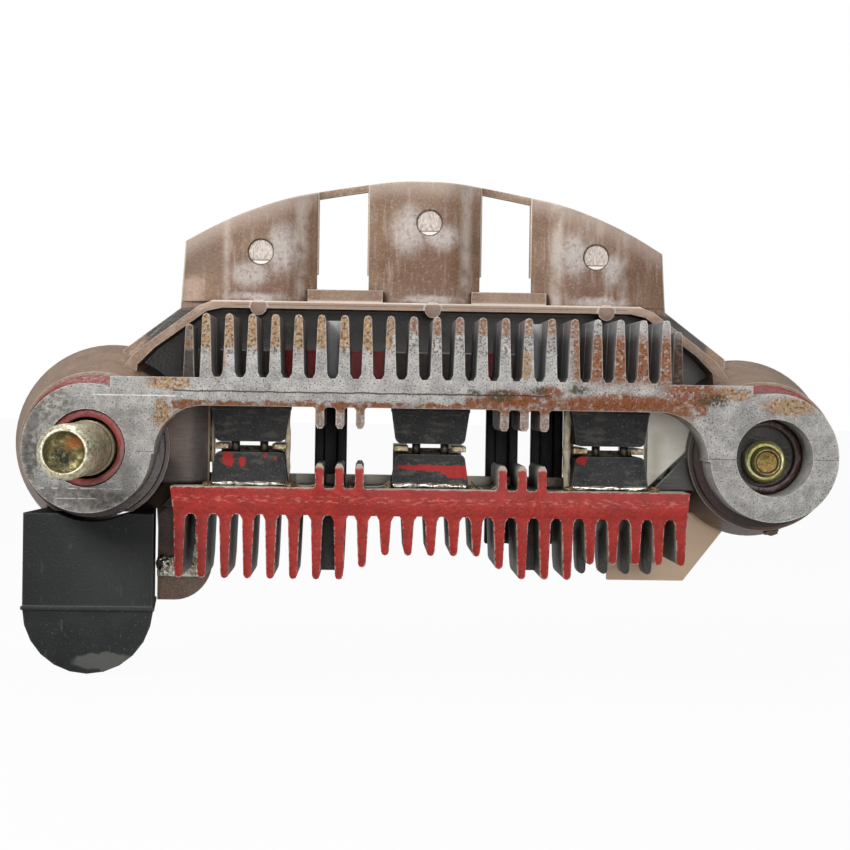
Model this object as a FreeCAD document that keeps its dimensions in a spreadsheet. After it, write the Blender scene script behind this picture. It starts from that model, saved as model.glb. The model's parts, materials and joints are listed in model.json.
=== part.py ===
import FreeCAD, Part
import math
import os
import re
import Sketcher
from FreeCAD import Placement, Rotation, Vector

# Alternator rectifier: two finned heat sinks with three pairs of diodes between them,
# carried by a moulded terminal board with a scalloped air baffle.
# Frame: X along the row of fins, Y from the finned front to the back, Z up.
# The origin is on the battery stud's axis, in the front face of the left ear.

doc = FreeCAD.newDocument("AlternatorRectifier")
sheet = doc.addObject("Spreadsheet::Sheet", "Sizes")

# Driving dimensions, millimetres
driving_sizes = [
    ("stud_spacing", 104.5, "from the battery stud to the clamp bolt's ear"),
    ("ear_radius", 9.85, "cast ears of the negative sink"),
    ("ear_bore_radius", 5.9, "bore of both cast ears"),
    ("ear_depth", 9.0, "thickness of the cast ears"),
    ("seat_gap", 0.2, "clearance between pieces that seat on each other"),
    # Negative heat sink
    ("sink_depth", 20.0, "both sinks, front to back"),
    ("negative_beam_top", 10.95, "height of the negative beam above the axis"),
    ("negative_beam_bottom", 6.7, "underside of the negative beam"),
    ("beam_step_inset", 3.5, "from an ear's axis to the start of the beam's top"),
    ("deep_beam_inset", 12.7, "from an ear's axis to the start of the full depth"),
    ("ear_throat_radius", 7.4, "concave corner between beam and ear"),
    ("last_fin_inset", 13.37, "last upper fin from the right ear's axis"),
    ("fin_root_width", 1.8, "fin at its root"),
    ("fin_tip_width", 1.2, "fin at its tip"),
    ("negative_first_fin", 14.35, "first upper fin from the stud's axis"),
    ("negative_fin_tip", 20.7, "tips of the upper fins"),
    ("end_fin_tip", 19.4, "tips of the two end fins"),
    ("end_fin_front", 11.5, "front of the two end fins"),
    ("web_front", 12.0, "front of the webs that fill two of the slots"),
    ("web_tip_drop", 0.5, "webs below the fin tips"),
    ("small_fin_pitch", 3.05, "spacing in a small fin group"),
    ("small_fin_width", 1.3, "small fins"),
    ("negative_small_fin_tip", 3.4, "tips of the small fins under the beam"),
    # Positive heat sink
    ("positive_front", 2.4, "front face of the positive sink"),
    ("positive_beam_top", -5.7, "top of the positive beam"),
    ("positive_beam_bottom", -9.7, "fin roots of the positive sink"),
    ("positive_beam_inset", 12.5, "ends of the positive beam from the ears' axes"),
    ("positive_first_fin", 13.96, "first lower fin from the stud's axis"),
    ("positive_small_fin_tip", -1.8, "tips of the small fins on the beam"),
    ("left_fin_tip", -19.6, "long fins at the left"),
    ("step_fin_tip", -17.7, "the fin at each side of the short ones"),
    ("middle_fin_tip", -15.8, "short fins in the middle"),
    ("inner_fin_tip", -19.2, "long fins right of the middle"),
    ("right_fin_tip", -16.8, "fins at the right"),
    ("rear_fin_front", 15.0, "front of the longer rear part of the right fins"),
    ("fin_heel_bevel", 2.6, "bevel at the rear lower corner of the fins"),
    ("lug_width", 9.0, "pads behind the positive beam for the bus straps"),
    ("lug_depth", 1.8, "pads behind the positive beam"),
    # Diodes
    ("diode_share", 0.268, "pitch of the phases as a share of the stud spacing"),
    ("diode_front", 8.0, "front faces of the diodes"),
    ("diode_depth", 9.5, "diodes, front to back"),
    ("diode_base_width", 12.0, "diode against its sink"),
    ("diode_nose_width", 10.6, "diode at its terminal"),
    ("diode_corner", 0.9, "rounded nose corners"),
    ("negative_diode_nose", 1.2, "height of the upper diodes' noses"),
    ("positive_diode_nose", -0.4, "height of the lower diodes' noses"),
    ("solder_thickness", 0.6, "soldered foot of each diode"),
    ("solder_rim", 0.1, "foot standing out around each diode"),
    ("strip_thickness", 0.9, "phase terminal prongs"),
    ("strip_reach", 5.6, "outer edge of a phase terminal's prongs"),
    ("strip_opening", 3.4, "inner edge of a phase terminal's prongs"),
    ("plate_thickness", 0.6, "plate that hangs from the prongs"),
    ("wire_radius", 0.65, "diode lead wires"),
    ("wire_spacing", 4.4, "between the two lead wires of a phase"),
    # Terminal board
    ("board_front", 10.5, "front of the bells behind the washers"),
    ("wall_back", 29.5, "back of the board's rear wall"),
    ("board_wall", 2.0, "moulded walls"),
    ("board_shift", -0.55, "middle of the air baffle from the middle of the ears"),
    ("bell_depth", 36.0, "rear rim of the bells behind the ears"),
    ("bell_front_radius", 11.7, "bells behind the washers"),
    ("bell_rim_radius", 16.4, "left bell's rear rim"),
    ("right_bell_rim_radius", 15.5, "right bell's rear rim"),
    ("bell_floor", 3.5, "floor behind the washers"),
    ("bell_step", 24.5, "where the hollow of a bell widens"),
    ("bell_taper", 2.4, "how much a bell's hollow widens there"),
    ("right_bell_flat", -12.0, "flat under the right bell"),
    ("rear_wall_bottom", 8.2, "lower edge of the wall behind the upper fins"),
    ("ledge_height", 15.7, "low ledge behind the upper fins"),
    ("ledge_front", 21.4, "front of the low ledge"),
    ("shelf_front", 20.4, "front of the shelf over the upper fins"),
    ("shelf_top", 23.55, "shelf over the upper fins"),
    ("shelf_thickness", 1.2, "shelf over the upper fins"),
    ("rib_inset", 2.15, "foot of the sloping ribs from an ear's axis"),
    ("rib_foot_width", 3.5, "foot of the sloping ribs"),
    ("rib_foot_height", 10.4, "foot of the sloping ribs"),
    ("strut_inset", 2.85, "foot of the rear gussets from an ear's axis"),
    ("strut_foot_height", 15.4, "foot of the rear gussets"),
    ("rib_run", 15.8, "sloping ribs, from their foot to the level shelf"),
    ("pad_radius", 1.35, "round pads on the shelf's front edge"),
    ("pad_shift", 0.4, "middle pad right of the middle of the ears"),
    ("pad_drop", 1.0, "middles of the pads under the shelf's top"),
    # Air baffle
    ("baffle_inset", 12.95, "baffle's ends from the ears' axes"),
    ("baffle_shift", -0.45, "middle of the baffle's wall from its shelf's middle"),
    ("baffle_end_taper", 1.3, "baffle's ends leaning in towards their top"),
    ("baffle_radius", 76.7, "arched top edge"),
    ("baffle_top", 43.15, "apex of the arch"),
    ("arch_shift", -0.7, "apex of the arch from the baffle's middle"),
    ("bay_crest", 20.7, "front of the scalloped bays"),
    ("bay_bulge", 0.5, "curve of each bay's crest"),
    ("bay_trough", 23.4, "front of the wall at the windows' edges"),
    ("baffle_wall", 1.8, "wall of the bays"),
    ("wave_chord_error", 0.07, "chords of the wavy wall off its curve"),
    ("bay_flank", 4.0, "width of a bay's flank"),
    ("end_flank_share", 0.35, "outer flanks as a share of the outer bays"),
    ("window_inner", 9.25, "inner edge of the air windows from the middle"),
    ("window_outer", 17.1, "outer edge of the air windows from the middle"),
    ("window_bar", 1.1, "bar over each air window"),
    ("notch_width", 0.5, "notches beside the windows' lower corners"),
    ("notch_height", 2.6, "notches beside the windows' lower corners"),
    ("sill_overhang", 2.1, "sills wider than the windows"),
    ("sill_height", 1.95, "sills under the windows"),
    ("sill_front", 20.5, "front of the sills"),
    ("pin_mark_radius", 2.05, "round moulding marks on the bays"),
    ("pin_mark_depth", 0.3, "round moulding marks on the bays"),
    ("pin_mark_height", 31.4, "marks on the outer bays"),
    ("middle_mark_height", 36.5, "mark on the middle bay"),
    ("pin_mark_shift", 1.2, "marks inwards of the outer bays' middles"),
    ("pin_mark_offset", 0.65, "middle mark right of the baffle's middle"),
    # Lower part of the board
    ("rail_top", -4.3, "lower rail behind the positive sink"),
    ("rail_bottom", -9.8, "lower rail behind the positive sink"),
    ("rail_front", 22.8, "front of the lower rail"),
    ("rail_back", 26.0, "back of the lower rail"),
    ("tail_right", 17.3, "right edge of the tail under the left bell"),
    ("tail_thickness", 2.0, "tail under the left bell"),
    ("tail_bottom", -25.2, "bottom of the tail"),
    ("tail_corner", 6.0, "rounded corner of the tail"),
    ("gusset_reach", 14.6, "right gusset's tip from the ear's axis"),
    ("gusset_height", -5.5, "right gusset's tip"),
    ("gusset_floor", 1.5, "floor of the right gusset and its skirt"),
    ("skirt_left_inset", 22.6, "left edge of the skirt from the right ear's axis"),
    ("skirt_right_inset", 10.2, "lower right corner of the skirt from that axis"),
    ("skirt_shoulder_inset", 3.1, "upper end of the skirt's sloping edge from that axis"),
    ("skirt_bottom", -20.9, "bottom of the skirt"),
    # Stator lead guides
    ("guide_width_share", 0.186, "width of the lead guides as a share of the pitch"),
    ("guide_share", 0.437, "two guides right of their phases as a share of the pitch"),
    ("right_guide_inset", 8.4, "last guide left of its phase"),
    ("guide_thickness", 2.4, "black lead guides"),
    ("guide_top", 8.0, "top of the lead guides"),
    ("guide_bottom", -15.4, "bottom of the lead guides"),
    ("guide_slot_radius", 1.1, "bore for a stator lead"),
    # Insulators and hardware
    ("washer_radius", 11.1, "insulating washers"),
    ("washer_thickness", 1.3, "insulating washers"),
    ("sleeve_wall", 1.2, "insulating sleeve and bush"),
    ("sleeve_setback", 0.4, "sleeve behind the ear's face"),
    ("clamp_setback", 8.4, "right insulator's tube behind the ear's face"),
    ("stud_radius", 4.0, "battery stud"),
    ("stud_reach", 24.0, "stud in front of the ear"),
    ("shank_step", 0.2, "stud's shank in the ear over its thread"),
    ("stud_chamfer", 0.7, "chamfered stud end"),
    ("stud_cup_radius", 2.9, "cupped stud end"),
    ("stud_cup_depth", 1.0, "cupped stud end"),
    ("stud_flats", 13.0, "stud head across its flats"),
    ("stud_head_height", 5.3, "stud head"),
    ("bolt_radius", 2.3, "clamp bolt"),
    ("bolt_tip", 6.2, "clamp bolt's end behind the ear's face"),
    ("bolt_flats", 8.0, "clamp bolt's head across its flats"),
    ("bolt_head_height", 3.5, "clamp bolt's head"),
    ("bolt_drop", 0.8, "clamp bolt below the ear's axis"),
    ("collar_radius", 3.3, "collar nut on the clamp bolt"),
    ("collar_front", 7.6, "collar nut's face behind the ear's face"),
    ("bus_thickness", 1.2, "bus strap"),
    ("bus_eye_radius", 6.4, "bus strap under the stud's head"),
    ("bus_arm_width", 4.6, "bus strap inside the bell"),
    ("bus_run", 19.0, "pad of the bus strap from the stud"),
    ("sense_width", 3.3, "sense strap"),
    ("sense_thickness", 0.8, "sense strap"),
    ("sense_height", -21.4, "sense strap's lower edge"),
    # Connector
    ("connector_left", -10.6, "left side of the connector housing"),
    ("connector_right", 9.6, "right side of the connector housing"),
    ("connector_top", -10.3, "top of the connector housing"),
    ("connector_front", 8.0, "closed face of the connector housing"),
    ("connector_back", 27.0, "mouth of the connector housing"),
    ("connector_draft", 1.5, "each side of the housing, from its face to its mouth"),
    ("connector_wall", 1.8, "walls of the connector housing"),
    ("connector_cup_radius", 11.6, "hollow under the left ear"),
    ("connector_seam", -25.1, "seam across the connector housing"),
    ("seam_rise", 0.25, "seam ridge"),
    ("seam_height", 0.6, "seam ridge"),
    ("blade_width", 6.3, "terminal blades"),
    ("blade_thickness", 0.8, "terminal blades"),
    ("blade_length", 12.0, "terminal blades in the socket"),
    ("blade_upper", -17.5, "upper blade"),
    ("blade_lower", -26.5, "lower blade"),
    # Fibre plates behind the upper fins
    ("fibre_thickness", 0.8, "dark red fibre plates"),
    ("left_fibre_start", 28.4, "left fibre plate from the stud's axis"),
    ("left_fibre_width", 17.6, "left fibre plate"),
    ("right_fibre_start", 61.7, "right fibre plate from the stud's axis"),
    ("right_fibre_width", 3.0, "right fibre plate"),
]

fin_count = 23

# Sizes that follow from the driving ones
following_sizes = [
    ("fin_pitch", "(stud_spacing - negative_first_fin - last_fin_inset) / %d" % (fin_count - 1),
     "spacing of the fins of both sinks"),
    ("diode_pitch", "stud_spacing * diode_share", "between the three phases"),
    ("small_fin_offset", "diode_pitch / 2", "small fin groups from the middle"),
    ("board_middle", "stud_spacing / 2 + board_shift", "middle of the air baffle from the stud's axis"),
    ("rib_foot", "stud_spacing / 2 - rib_inset", "foot of the sloping ribs from the middle"),
    ("strut_foot", "stud_spacing / 2 - strut_inset", "foot of the rear gussets from the middle"),
    ("shelf_half_width", "stud_spacing / 2 - rib_inset - rib_run", "shelf from its middle to its bend"),
    ("baffle_half_width", "stud_spacing / 2 - baffle_inset", "baffle from its middle to its ends"),
    ("end_bay_flank", "(stud_spacing / 2 - baffle_inset - window_outer) * end_flank_share", "outer flanks"),
    ("pin_mark_spacing", "(stud_spacing / 2 - baffle_inset + window_outer) / 2 - pin_mark_shift",
     "between the moulding marks"),
    ("baffle_middle", "stud_spacing / 2 + board_shift + baffle_shift", "middle of the baffle's wall"),
    ("guide_width", "stud_spacing * diode_share * guide_width_share", "black lead guides"),
    ("left_guide", "stud_spacing / 2 - (1 - guide_share) * stud_spacing * diode_share", "left lead guide"),
    ("middle_guide", "stud_spacing / 2 + guide_share * stud_spacing * diode_share", "middle lead guide"),
    ("right_guide", "stud_spacing / 2 + stud_spacing * diode_share - right_guide_inset", "right lead guide"),
]

rows = driving_sizes + [(alias, "=" + words, note) for alias, words, note in following_sizes]
for row, (alias, value, note) in enumerate(rows, start=1):
    sheet.set("A%d" % row, note)
    sheet.set("B%d" % row, str(value))
    sheet.setAlias("B%d" % row, alias)
doc.recompute()

webbed_slots = (6, 15)
small_fins = (-1, 0, 1)
crown_steps = 4
root_steps = 3
mark_sides = 16
pad_sides = 12
wire_sides = 10
housing_sides = 12
phase_names = ("left", "middle", "right")


def mm(alias):
    return float(getattr(sheet, alias))


def formula(words):
    """The same words with each size read from the sheet."""
    return re.sub(r"[a-z][a-z_]*[a-z]", lambda found: "Sizes." + found.group(0), words)


middle = mm("stud_spacing") / 2
sink_back = mm("positive_front") + mm("sink_depth")


# Solids worked out from numbers

def block(x0, x1, y0, y1, z0, z1):
    return Part.makeBox(x1 - x0, y1 - y0, z1 - z0, Vector(x0, y0, z0))


def rod(radius, y0, y1, x=0.0, z=0.0):
    return Part.makeCylinder(radius, y1 - y0, Vector(x, y0, z), Vector(0, 1, 0))


def slab(corners, y0, y1):
    """Outline in the XZ plane, carried from y0 to y1."""
    points = [Vector(x, y0, z) for x, z in corners]
    face = Part.Face(Part.makePolygon(points + points[:1]))
    return face.extrude(Vector(0, y1 - y0, 0))


def arc_corners(x, z, radius, start, end, steps):
    """Corners of an arc about (x, z), its angles in degrees."""
    angles = [math.radians(start + (end - start) * step / steps) for step in range(steps + 1)]
    return [(x + radius * math.cos(angle), z + radius * math.sin(angle)) for angle in angles]


def faceted_rod(radius, y0, y1, x, z, sides):
    return slab(arc_corners(x, z, radius, 0, 360 - 360 / sides, sides - 1), y0, y1)


def turned_solid(profile, x, z):
    """Outline of radius and depth, turned about the Y direction through (x, z)."""
    points = [Vector(x + radius, y, z) for radius, y in profile]
    face = Part.Face(Part.makePolygon(points + points[:1]))
    return face.revolve(Vector(x, 0, z), Vector(0, 1, 0), 360)


def join(shapes):
    whole = shapes[0].multiFuse(shapes[1:])
    return whole.removeSplitter()


# Document objects

parts_made = []


def keep(item, label):
    item.Label = label
    parts_made.append(item)
    return item


def solid_feature(label, shape):
    item = doc.addObject("Part::Feature", label)
    item.Shape = shape
    item.Placement = Placement()
    return keep(item, label)


def own_plane(body, role):
    for plane in body.Origin.OriginFeatures:
        if plane.Role == role:
            return plane
    raise ValueError("no plane " + role)


def outline_sketch(body, role, corners, name):
    """Closed outline on one of the body's own planes; each corner is a pair of formulas."""
    sketch = body.newObject("Sketcher::SketchObject", name)
    sketch.AttachmentSupport = [(own_plane(body, role), "")]
    sketch.MapMode = "FlatFace"
    bound = [(formula(across), formula(up)) for across, up in corners]
    places = [(float(sketch.evalExpression(a)), float(sketch.evalExpression(b))) for a, b in bound]
    count = len(places)
    for index in range(count):
        start = Vector(*places[index], 0)
        end = Vector(*places[(index + 1) % count], 0)
        sketch.addGeometry(Part.LineSegment(start, end), False)
    for index in range(count):
        sketch.addConstraint(Sketcher.Constraint("Coincident", index, 2, (index + 1) % count, 1))
    for index in range(count):
        for kind, axis, text, value in (("DistanceX", -2, bound[index][0], places[index][0]),
                                        ("DistanceY", -1, bound[index][1], places[index][1])):
            if abs(value) < 1e-9:
                sketch.addConstraint(Sketcher.Constraint("PointOnObject", index, 1, axis))
                continue
            number = sketch.addConstraint(Sketcher.Constraint(kind, -1, 1, index, 1, value))
            sketch.setExpression("Constraints[%d]" % number, text)
    doc.recompute()
    return sketch


def body_at(label, x="0", y="0", z="0"):
    body = keep(doc.addObject("PartDesign::Body", label), label)
    for side, words in zip("xyz", (x, y, z)):
        body.setExpression(".Placement.Base." + side, formula(words))
    return body


def turned_body(label, corners, x="0", z="0"):
    """Turned piece: corners are radius and depth from the ear's front face."""
    body = body_at(label, x=x, z=z)
    sketch = outline_sketch(body, "XY_Plane", corners, label + "_profile")
    turn = body.newObject("PartDesign::Revolution", label + "_turned")
    turn.Profile = sketch
    turn.ReferenceAxis = (sketch, ["V_Axis"])
    turn.Angle = 360
    doc.recompute()
    return body


def pad_along_y(body, corners, front, depth, name):
    """Pad with its outline in the XZ plane, from the depth `front` towards the back."""
    sketch = outline_sketch(body, "XZ_Plane", corners, name + "_outline")
    sketch.setExpression(".AttachmentOffset.Base.z", "-(" + formula(front) + ")")
    pad = body.newObject("PartDesign::Pad", name)
    pad.Profile = sketch
    pad.Reversed = True
    pad.setExpression("Length", formula(depth))
    doc.recompute()
    return pad


def pocket_along_y(body, corners, front, depth, name):
    sketch = outline_sketch(body, "XZ_Plane", corners, name + "_outline")
    sketch.setExpression(".AttachmentOffset.Base.z", "-(" + formula(front) + ")")
    before = body.Shape.Volume
    pocket = body.newObject("PartDesign::Pocket", name)
    pocket.Profile = sketch
    pocket.Reversed = True
    pocket.setExpression("Length", formula(depth))
    doc.recompute()
    if body.Shape.Volume >= before:
        pocket.Reversed = False
        doc.recompute()
    return pocket


def box_part(label, x, y, z, length, width, height):
    box = keep(doc.addObject("Part::Box", label), label)
    for name, words in (("Length", length), ("Width", width), ("Height", height)):
        box.setExpression(name, formula(words))
    for side, words in zip("xyz", (x, y, z)):
        box.setExpression(".Placement.Base." + side, formula(words))
    return box


# Finned combs of the two sinks

def fin(x, root_z, tip_z, front, back):
    """Tapered fin with a rounded tip, standing up or hanging down from root_z."""
    way = 1 if tip_z > root_z else -1
    root = mm("fin_root_width") / 2
    tip = mm("fin_tip_width") / 2
    crown = arc_corners(x, tip_z - way * tip, tip, 180, 180 - way * 180, crown_steps)
    return slab([(x - root, root_z)] + crown + [(x + root, root_z)], front, back)


def comb(first_x, tips, slot_z, body_z, front, back):
    """Row of fins with round slot roots: one outline, carried front to back."""
    way = 1 if tips[0] > slot_z else -1
    pitch = mm("fin_pitch")
    root = mm("fin_root_width") / 2
    tip = mm("fin_tip_width") / 2
    slot = pitch / 2 - root
    corners = [(first_x - root, body_z)]
    for index, tip_z in enumerate(tips):
        x = first_x + pitch * index
        if index:
            corners += arc_corners(x - pitch / 2, slot_z + way * slot, slot, 180, 180 + way * 180,
                                   root_steps)
        corners += arc_corners(x, tip_z - way * tip, tip, 180, 180 - way * 180, crown_steps)
    last_x = first_x + pitch * (len(tips) - 1)
    return slab(corners + [(last_x + root, body_z)], front, back)


def small_fin_row(root_z, tip_z, front, back):
    """Two groups of three small fins, one each side of the middle."""
    half = mm("small_fin_width") / 2
    way = 1 if tip_z > root_z else -1
    flare = half * 1.5
    fins = []
    for side in (-1, 1):
        for step in small_fins:
            x = middle + side * mm("small_fin_offset") + step * mm("small_fin_pitch")
            crown = arc_corners(x, tip_z - way * half, half, 180, 180 - way * 180, root_steps)
            fins.append(slab([(x - flare, root_z), (x - half, root_z + way * half / 2)] + crown
                             + [(x + half, root_z + way * half / 2), (x + flare, root_z)], front, back))
    return fins


def slot_webs(first_x, low_z, high_z, front, back):
    pitch = mm("fin_pitch")
    return [block(first_x + pitch * slot, first_x + pitch * (slot + 1), front, back, low_z, high_z)
            for slot in webbed_slots]


def negative_heat_sink():
    span = mm("stud_spacing")
    top = mm("negative_beam_top")
    bottom = mm("negative_beam_bottom")
    ear_depth = mm("ear_depth")
    depth = mm("sink_depth")
    first = mm("negative_first_fin")
    pitch = mm("fin_pitch")
    tip = mm("negative_fin_tip")
    inset = mm("beam_step_inset")
    deep = mm("deep_beam_inset")
    throat = mm("ear_throat_radius")
    throat_x = mm("ear_radius") + 0.3 + throat
    throat_z = bottom - throat
    overlap = 0.5
    pieces = [
        block(inset, span - inset, 0, ear_depth, bottom, top),
        block(deep, span - deep, 0, depth, bottom, top),
    ]
    for ear_x, way in ((0.0, 1), (span, -1)):
        pieces.append(rod(mm("ear_radius"), 0, ear_depth, ear_x, 0))
        corner = slab([(ear_x, bottom + overlap), (ear_x + way * throat_x, bottom + overlap),
                       (ear_x + way * throat_x, throat_z), (ear_x, throat_z)], 0, ear_depth)
        pieces.append(corner.cut(rod(throat, -1, ear_depth + 1, ear_x + way * throat_x, throat_z)))
    front_tips = [tip] * (fin_count - 2)
    pieces.append(comb(first + pitch, front_tips, top, top - overlap, 0, depth))
    for index in (0, fin_count - 1):
        pieces.append(fin(first + pitch * index, top - overlap, mm("end_fin_tip"),
                          mm("end_fin_front"), depth))
    pieces += slot_webs(first, top - overlap, tip - mm("web_tip_drop"), mm("web_front"), depth)
    pieces += small_fin_row(bottom, mm("negative_small_fin_tip"), 0, depth)
    shape = join(pieces)
    for ear_x in (0.0, span):
        shape = shape.cut(rod(mm("ear_bore_radius"), -1, ear_depth + 1, ear_x, 0))
    return solid_feature("negative_heat_sink", shape)


def positive_tips():
    """Lower fin tips from left to right, as the stepped edge runs."""
    groups = [("left_fin_tip", 8), ("step_fin_tip", 1), ("middle_fin_tip", 5), ("step_fin_tip", 1),
              ("inner_fin_tip", 3), ("right_fin_tip", 5)]
    return [mm(alias) for alias, count in groups for _ in range(count)]


def positive_heat_sink():
    front = mm("positive_front")
    top = mm("positive_beam_top")
    bottom = mm("positive_beam_bottom")
    first = mm("positive_first_fin")
    pitch = mm("fin_pitch")
    start = mm("positive_beam_inset")
    end = mm("stud_spacing") - start
    overlap = 0.5
    tips = positive_tips()
    foot = first - mm("fin_root_width") / 2
    far_foot = foot + pitch * (fin_count - 1) + mm("fin_root_width")
    pieces = [slab([(start, top), (end, top), (far_foot, bottom), (foot, bottom)], front, sink_back),
              comb(first, tips, bottom, bottom + overlap, front, sink_back)]
    for index in range(18, 22):
        pieces.append(fin(first + pitch * index, bottom + overlap, mm("inner_fin_tip"),
                          mm("rear_fin_front"), sink_back))
    web_front = front + mm("web_front")
    for slot, web in zip(webbed_slots, slot_webs(first, 0, 1, web_front, sink_back)):
        low = max(tips[slot], tips[slot + 1]) + mm("web_tip_drop")
        pieces.append(block(web.BoundBox.XMin, web.BoundBox.XMax, web_front, sink_back,
                            low, bottom + overlap))
    pieces += small_fin_row(top, mm("positive_small_fin_tip"), front, sink_back)
    for pad_x in bus_pads():
        pieces.append(block(pad_x - mm("lug_width") / 2, pad_x + mm("lug_width") / 2, sink_back,
                            sink_back + mm("lug_depth"), bottom, top))
    shape = join(pieces)
    heel = mm("fin_heel_bevel")
    low = mm("left_fin_tip")
    wedge = Part.Face(Part.makePolygon([Vector(0, sink_back - heel, low), Vector(0, sink_back, low + heel),
                                        Vector(0, sink_back, low - 1), Vector(0, sink_back - heel, low - 1),
                                        Vector(0, sink_back - heel, low)]))
    shape = shape.cut(wedge.extrude(Vector(mm("stud_spacing"), 0, 0)))
    return solid_feature("positive_heat_sink", shape)


def bus_pads():
    """Where the bus strap and the sense strap meet the positive beam."""
    return [mm("bus_run")]


# Moulded terminal board

def bell(ear_x, rim_radius):
    """Bell behind an ear, and the stepped hollow of that cup, which opens to the back."""
    front = mm("board_front")
    floor = front + mm("bell_floor")
    back = mm("bell_depth")
    step = mm("bell_step")
    narrow = mm("bell_front_radius") - mm("board_wall")
    wide = narrow + mm("bell_taper")
    outer = [(mm("bell_front_radius"), front), (mm("bell_front_radius"), floor), (rim_radius, back)]
    inner = [(wide, back), (wide, step), (narrow, step), (narrow, floor), (0, floor)]
    return turned_solid(outer + inner + [(0, front)], ear_x, 0), turned_solid(inner + [(0, back)], ear_x, 0)


def shelf():
    """Shelf over the upper fins, bent down at both ends into ribs that stand on the bells."""
    x = mm("board_middle")
    top = mm("shelf_top")
    half = mm("shelf_half_width")
    foot = mm("rib_foot")
    inner_foot = foot - mm("rib_foot_width")
    foot_z = mm("rib_foot_height")
    thick = mm("shelf_thickness")
    bend = top - 0.9
    upper = [(foot, foot_z), (foot - 2.9, foot_z + 4.1), (foot - 6.2, foot_z + 6.8), (half + 2.3, bend),
             (half, top)]
    lower = [(half - 1.4, top - thick), (half + 1.0, bend - thick * 0.7), (inner_foot - 2.9, foot_z + 5.3),
             (inner_foot - 0.3, foot_z + 2.6), (inner_foot, foot_z)]
    left = [(x - across, z) for across, z in upper]
    right = [(x + across, z) for across, z in reversed(upper)]
    under_right = [(x + across, z) for across, z in reversed(lower)]
    under_left = [(x - across, z) for across, z in lower]
    return slab(left + right + under_right + under_left, mm("shelf_front"), mm("wall_back"))


def rear_wall():
    """Wall behind the upper fins with its two sloping gussets."""
    x = mm("board_middle")
    foot = mm("strut_foot")
    low = mm("rear_wall_bottom")
    corner = mm("baffle_half_width")
    half = [(foot, low), (foot, mm("strut_foot_height")), (corner, mm("shelf_top") - 0.5),
            (corner - 0.8, mm("shelf_top") + 0.3)]
    left = [(x - across, z) for across, z in half]
    right = [(x + across, z) for across, z in reversed(half)]
    return slab(left + right, mm("wall_back") - mm("board_wall"), mm("wall_back"))


def baffle_line():
    """Plan of the wavy wall's front: its ends, shoulders, crests and troughs."""
    x = mm("baffle_middle")
    half = mm("baffle_half_width")
    inner = mm("window_inner")
    outer = mm("window_outer")
    flank = mm("bay_flank")
    end_flank = mm("end_bay_flank")
    trough = mm("bay_trough")
    crest = mm("bay_crest")
    shoulder = crest + mm("bay_bulge")
    corners = []
    for start, end, left, right in ((-half, -outer, end_flank, flank), (-inner, inner, flank, flank),
                                    (outer, half, flank, end_flank)):
        corners += [(start, trough), (start + left / 2, (trough + shoulder) / 2), (start + left, shoulder),
                    ((start + left + end - right) / 2, crest), (end - right, shoulder),
                    (end - right / 2, (trough + shoulder) / 2), (end, trough)]
    return [Vector(x + across, depth, mm("shelf_top") - mm("shelf_thickness"))
            for across, depth in corners]


def smooth_line(points):
    """Chords along a smooth curve through the points."""
    curve = Part.BSplineCurve()
    curve.interpolate(points)
    return curve.toShape().discretize(Deflection=mm("wave_chord_error"))


def air_baffle():
    """Wavy wall of three bays with two windows between them, under one arched edge."""
    x = mm("baffle_middle")
    half = mm("baffle_half_width")
    low = mm("shelf_top") - mm("shelf_thickness")
    front = smooth_line(baffle_line())
    back = [point + Vector(0, mm("baffle_wall"), 0) for point in reversed(front)]
    plan = Part.Face(Part.makePolygon(front + back + front[:1]))
    baffle = plan.extrude(Vector(0, 0, mm("baffle_top") + 1 - low))
    arch_x = x + mm("arch_shift")
    arch_z = mm("baffle_top") - mm("baffle_radius")
    behind = mm("wall_back")
    baffle = baffle.common(rod(mm("baffle_radius"), 0, behind, arch_x, arch_z))
    opening = rod(mm("baffle_radius") - mm("window_bar"), 0, behind, arch_x, arch_z)
    for way in (-1, 1):
        edge = x + way * half
        beyond = edge + way * mm("board_wall")
        baffle = baffle.cut(slab([(edge, low), (edge - way * mm("baffle_end_taper"), mm("baffle_top")),
                                  (beyond, mm("baffle_top")), (beyond, low)], 0, behind))
    sill_top = mm("shelf_top") + mm("sill_height")
    notch = mm("notch_width")
    for way in (-1, 1):
        near, far = sorted((x + way * mm("window_inner"), x + way * mm("window_outer")))
        window = block(near, far, 0, behind, sill_top, mm("baffle_top") + 2).common(opening)
        baffle = baffle.cut(window)
        baffle = baffle.cut(block(near - notch, far + notch, 0, behind, sill_top,
                                  sill_top + mm("notch_height")))
    mark_x = x + mm("pin_mark_offset")
    marks = [(mark_x - mm("pin_mark_spacing"), mm("pin_mark_height")), (mark_x, mm("middle_mark_height")),
             (mark_x + mm("pin_mark_spacing"), mm("pin_mark_height"))]
    crest = mm("bay_crest") + 0.1
    for across, height in marks:
        baffle = baffle.cut(faceted_rod(mm("pin_mark_radius"), crest - mm("board_wall"),
                                        crest + mm("pin_mark_depth"), across, height, mark_sides))
    return baffle


def sills():
    x = mm("board_middle")
    low = mm("shelf_top") - mm("shelf_thickness")
    pieces = []
    for way in (-1, 1):
        near, far = sorted((x + way * mm("window_inner"), x + way * mm("window_outer")))
        pieces.append(block(near - mm("sill_overhang"), far + mm("sill_overhang"), mm("sill_front"),
                            mm("wall_back"), low, mm("shelf_top") + mm("sill_height")))
    return pieces


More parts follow.
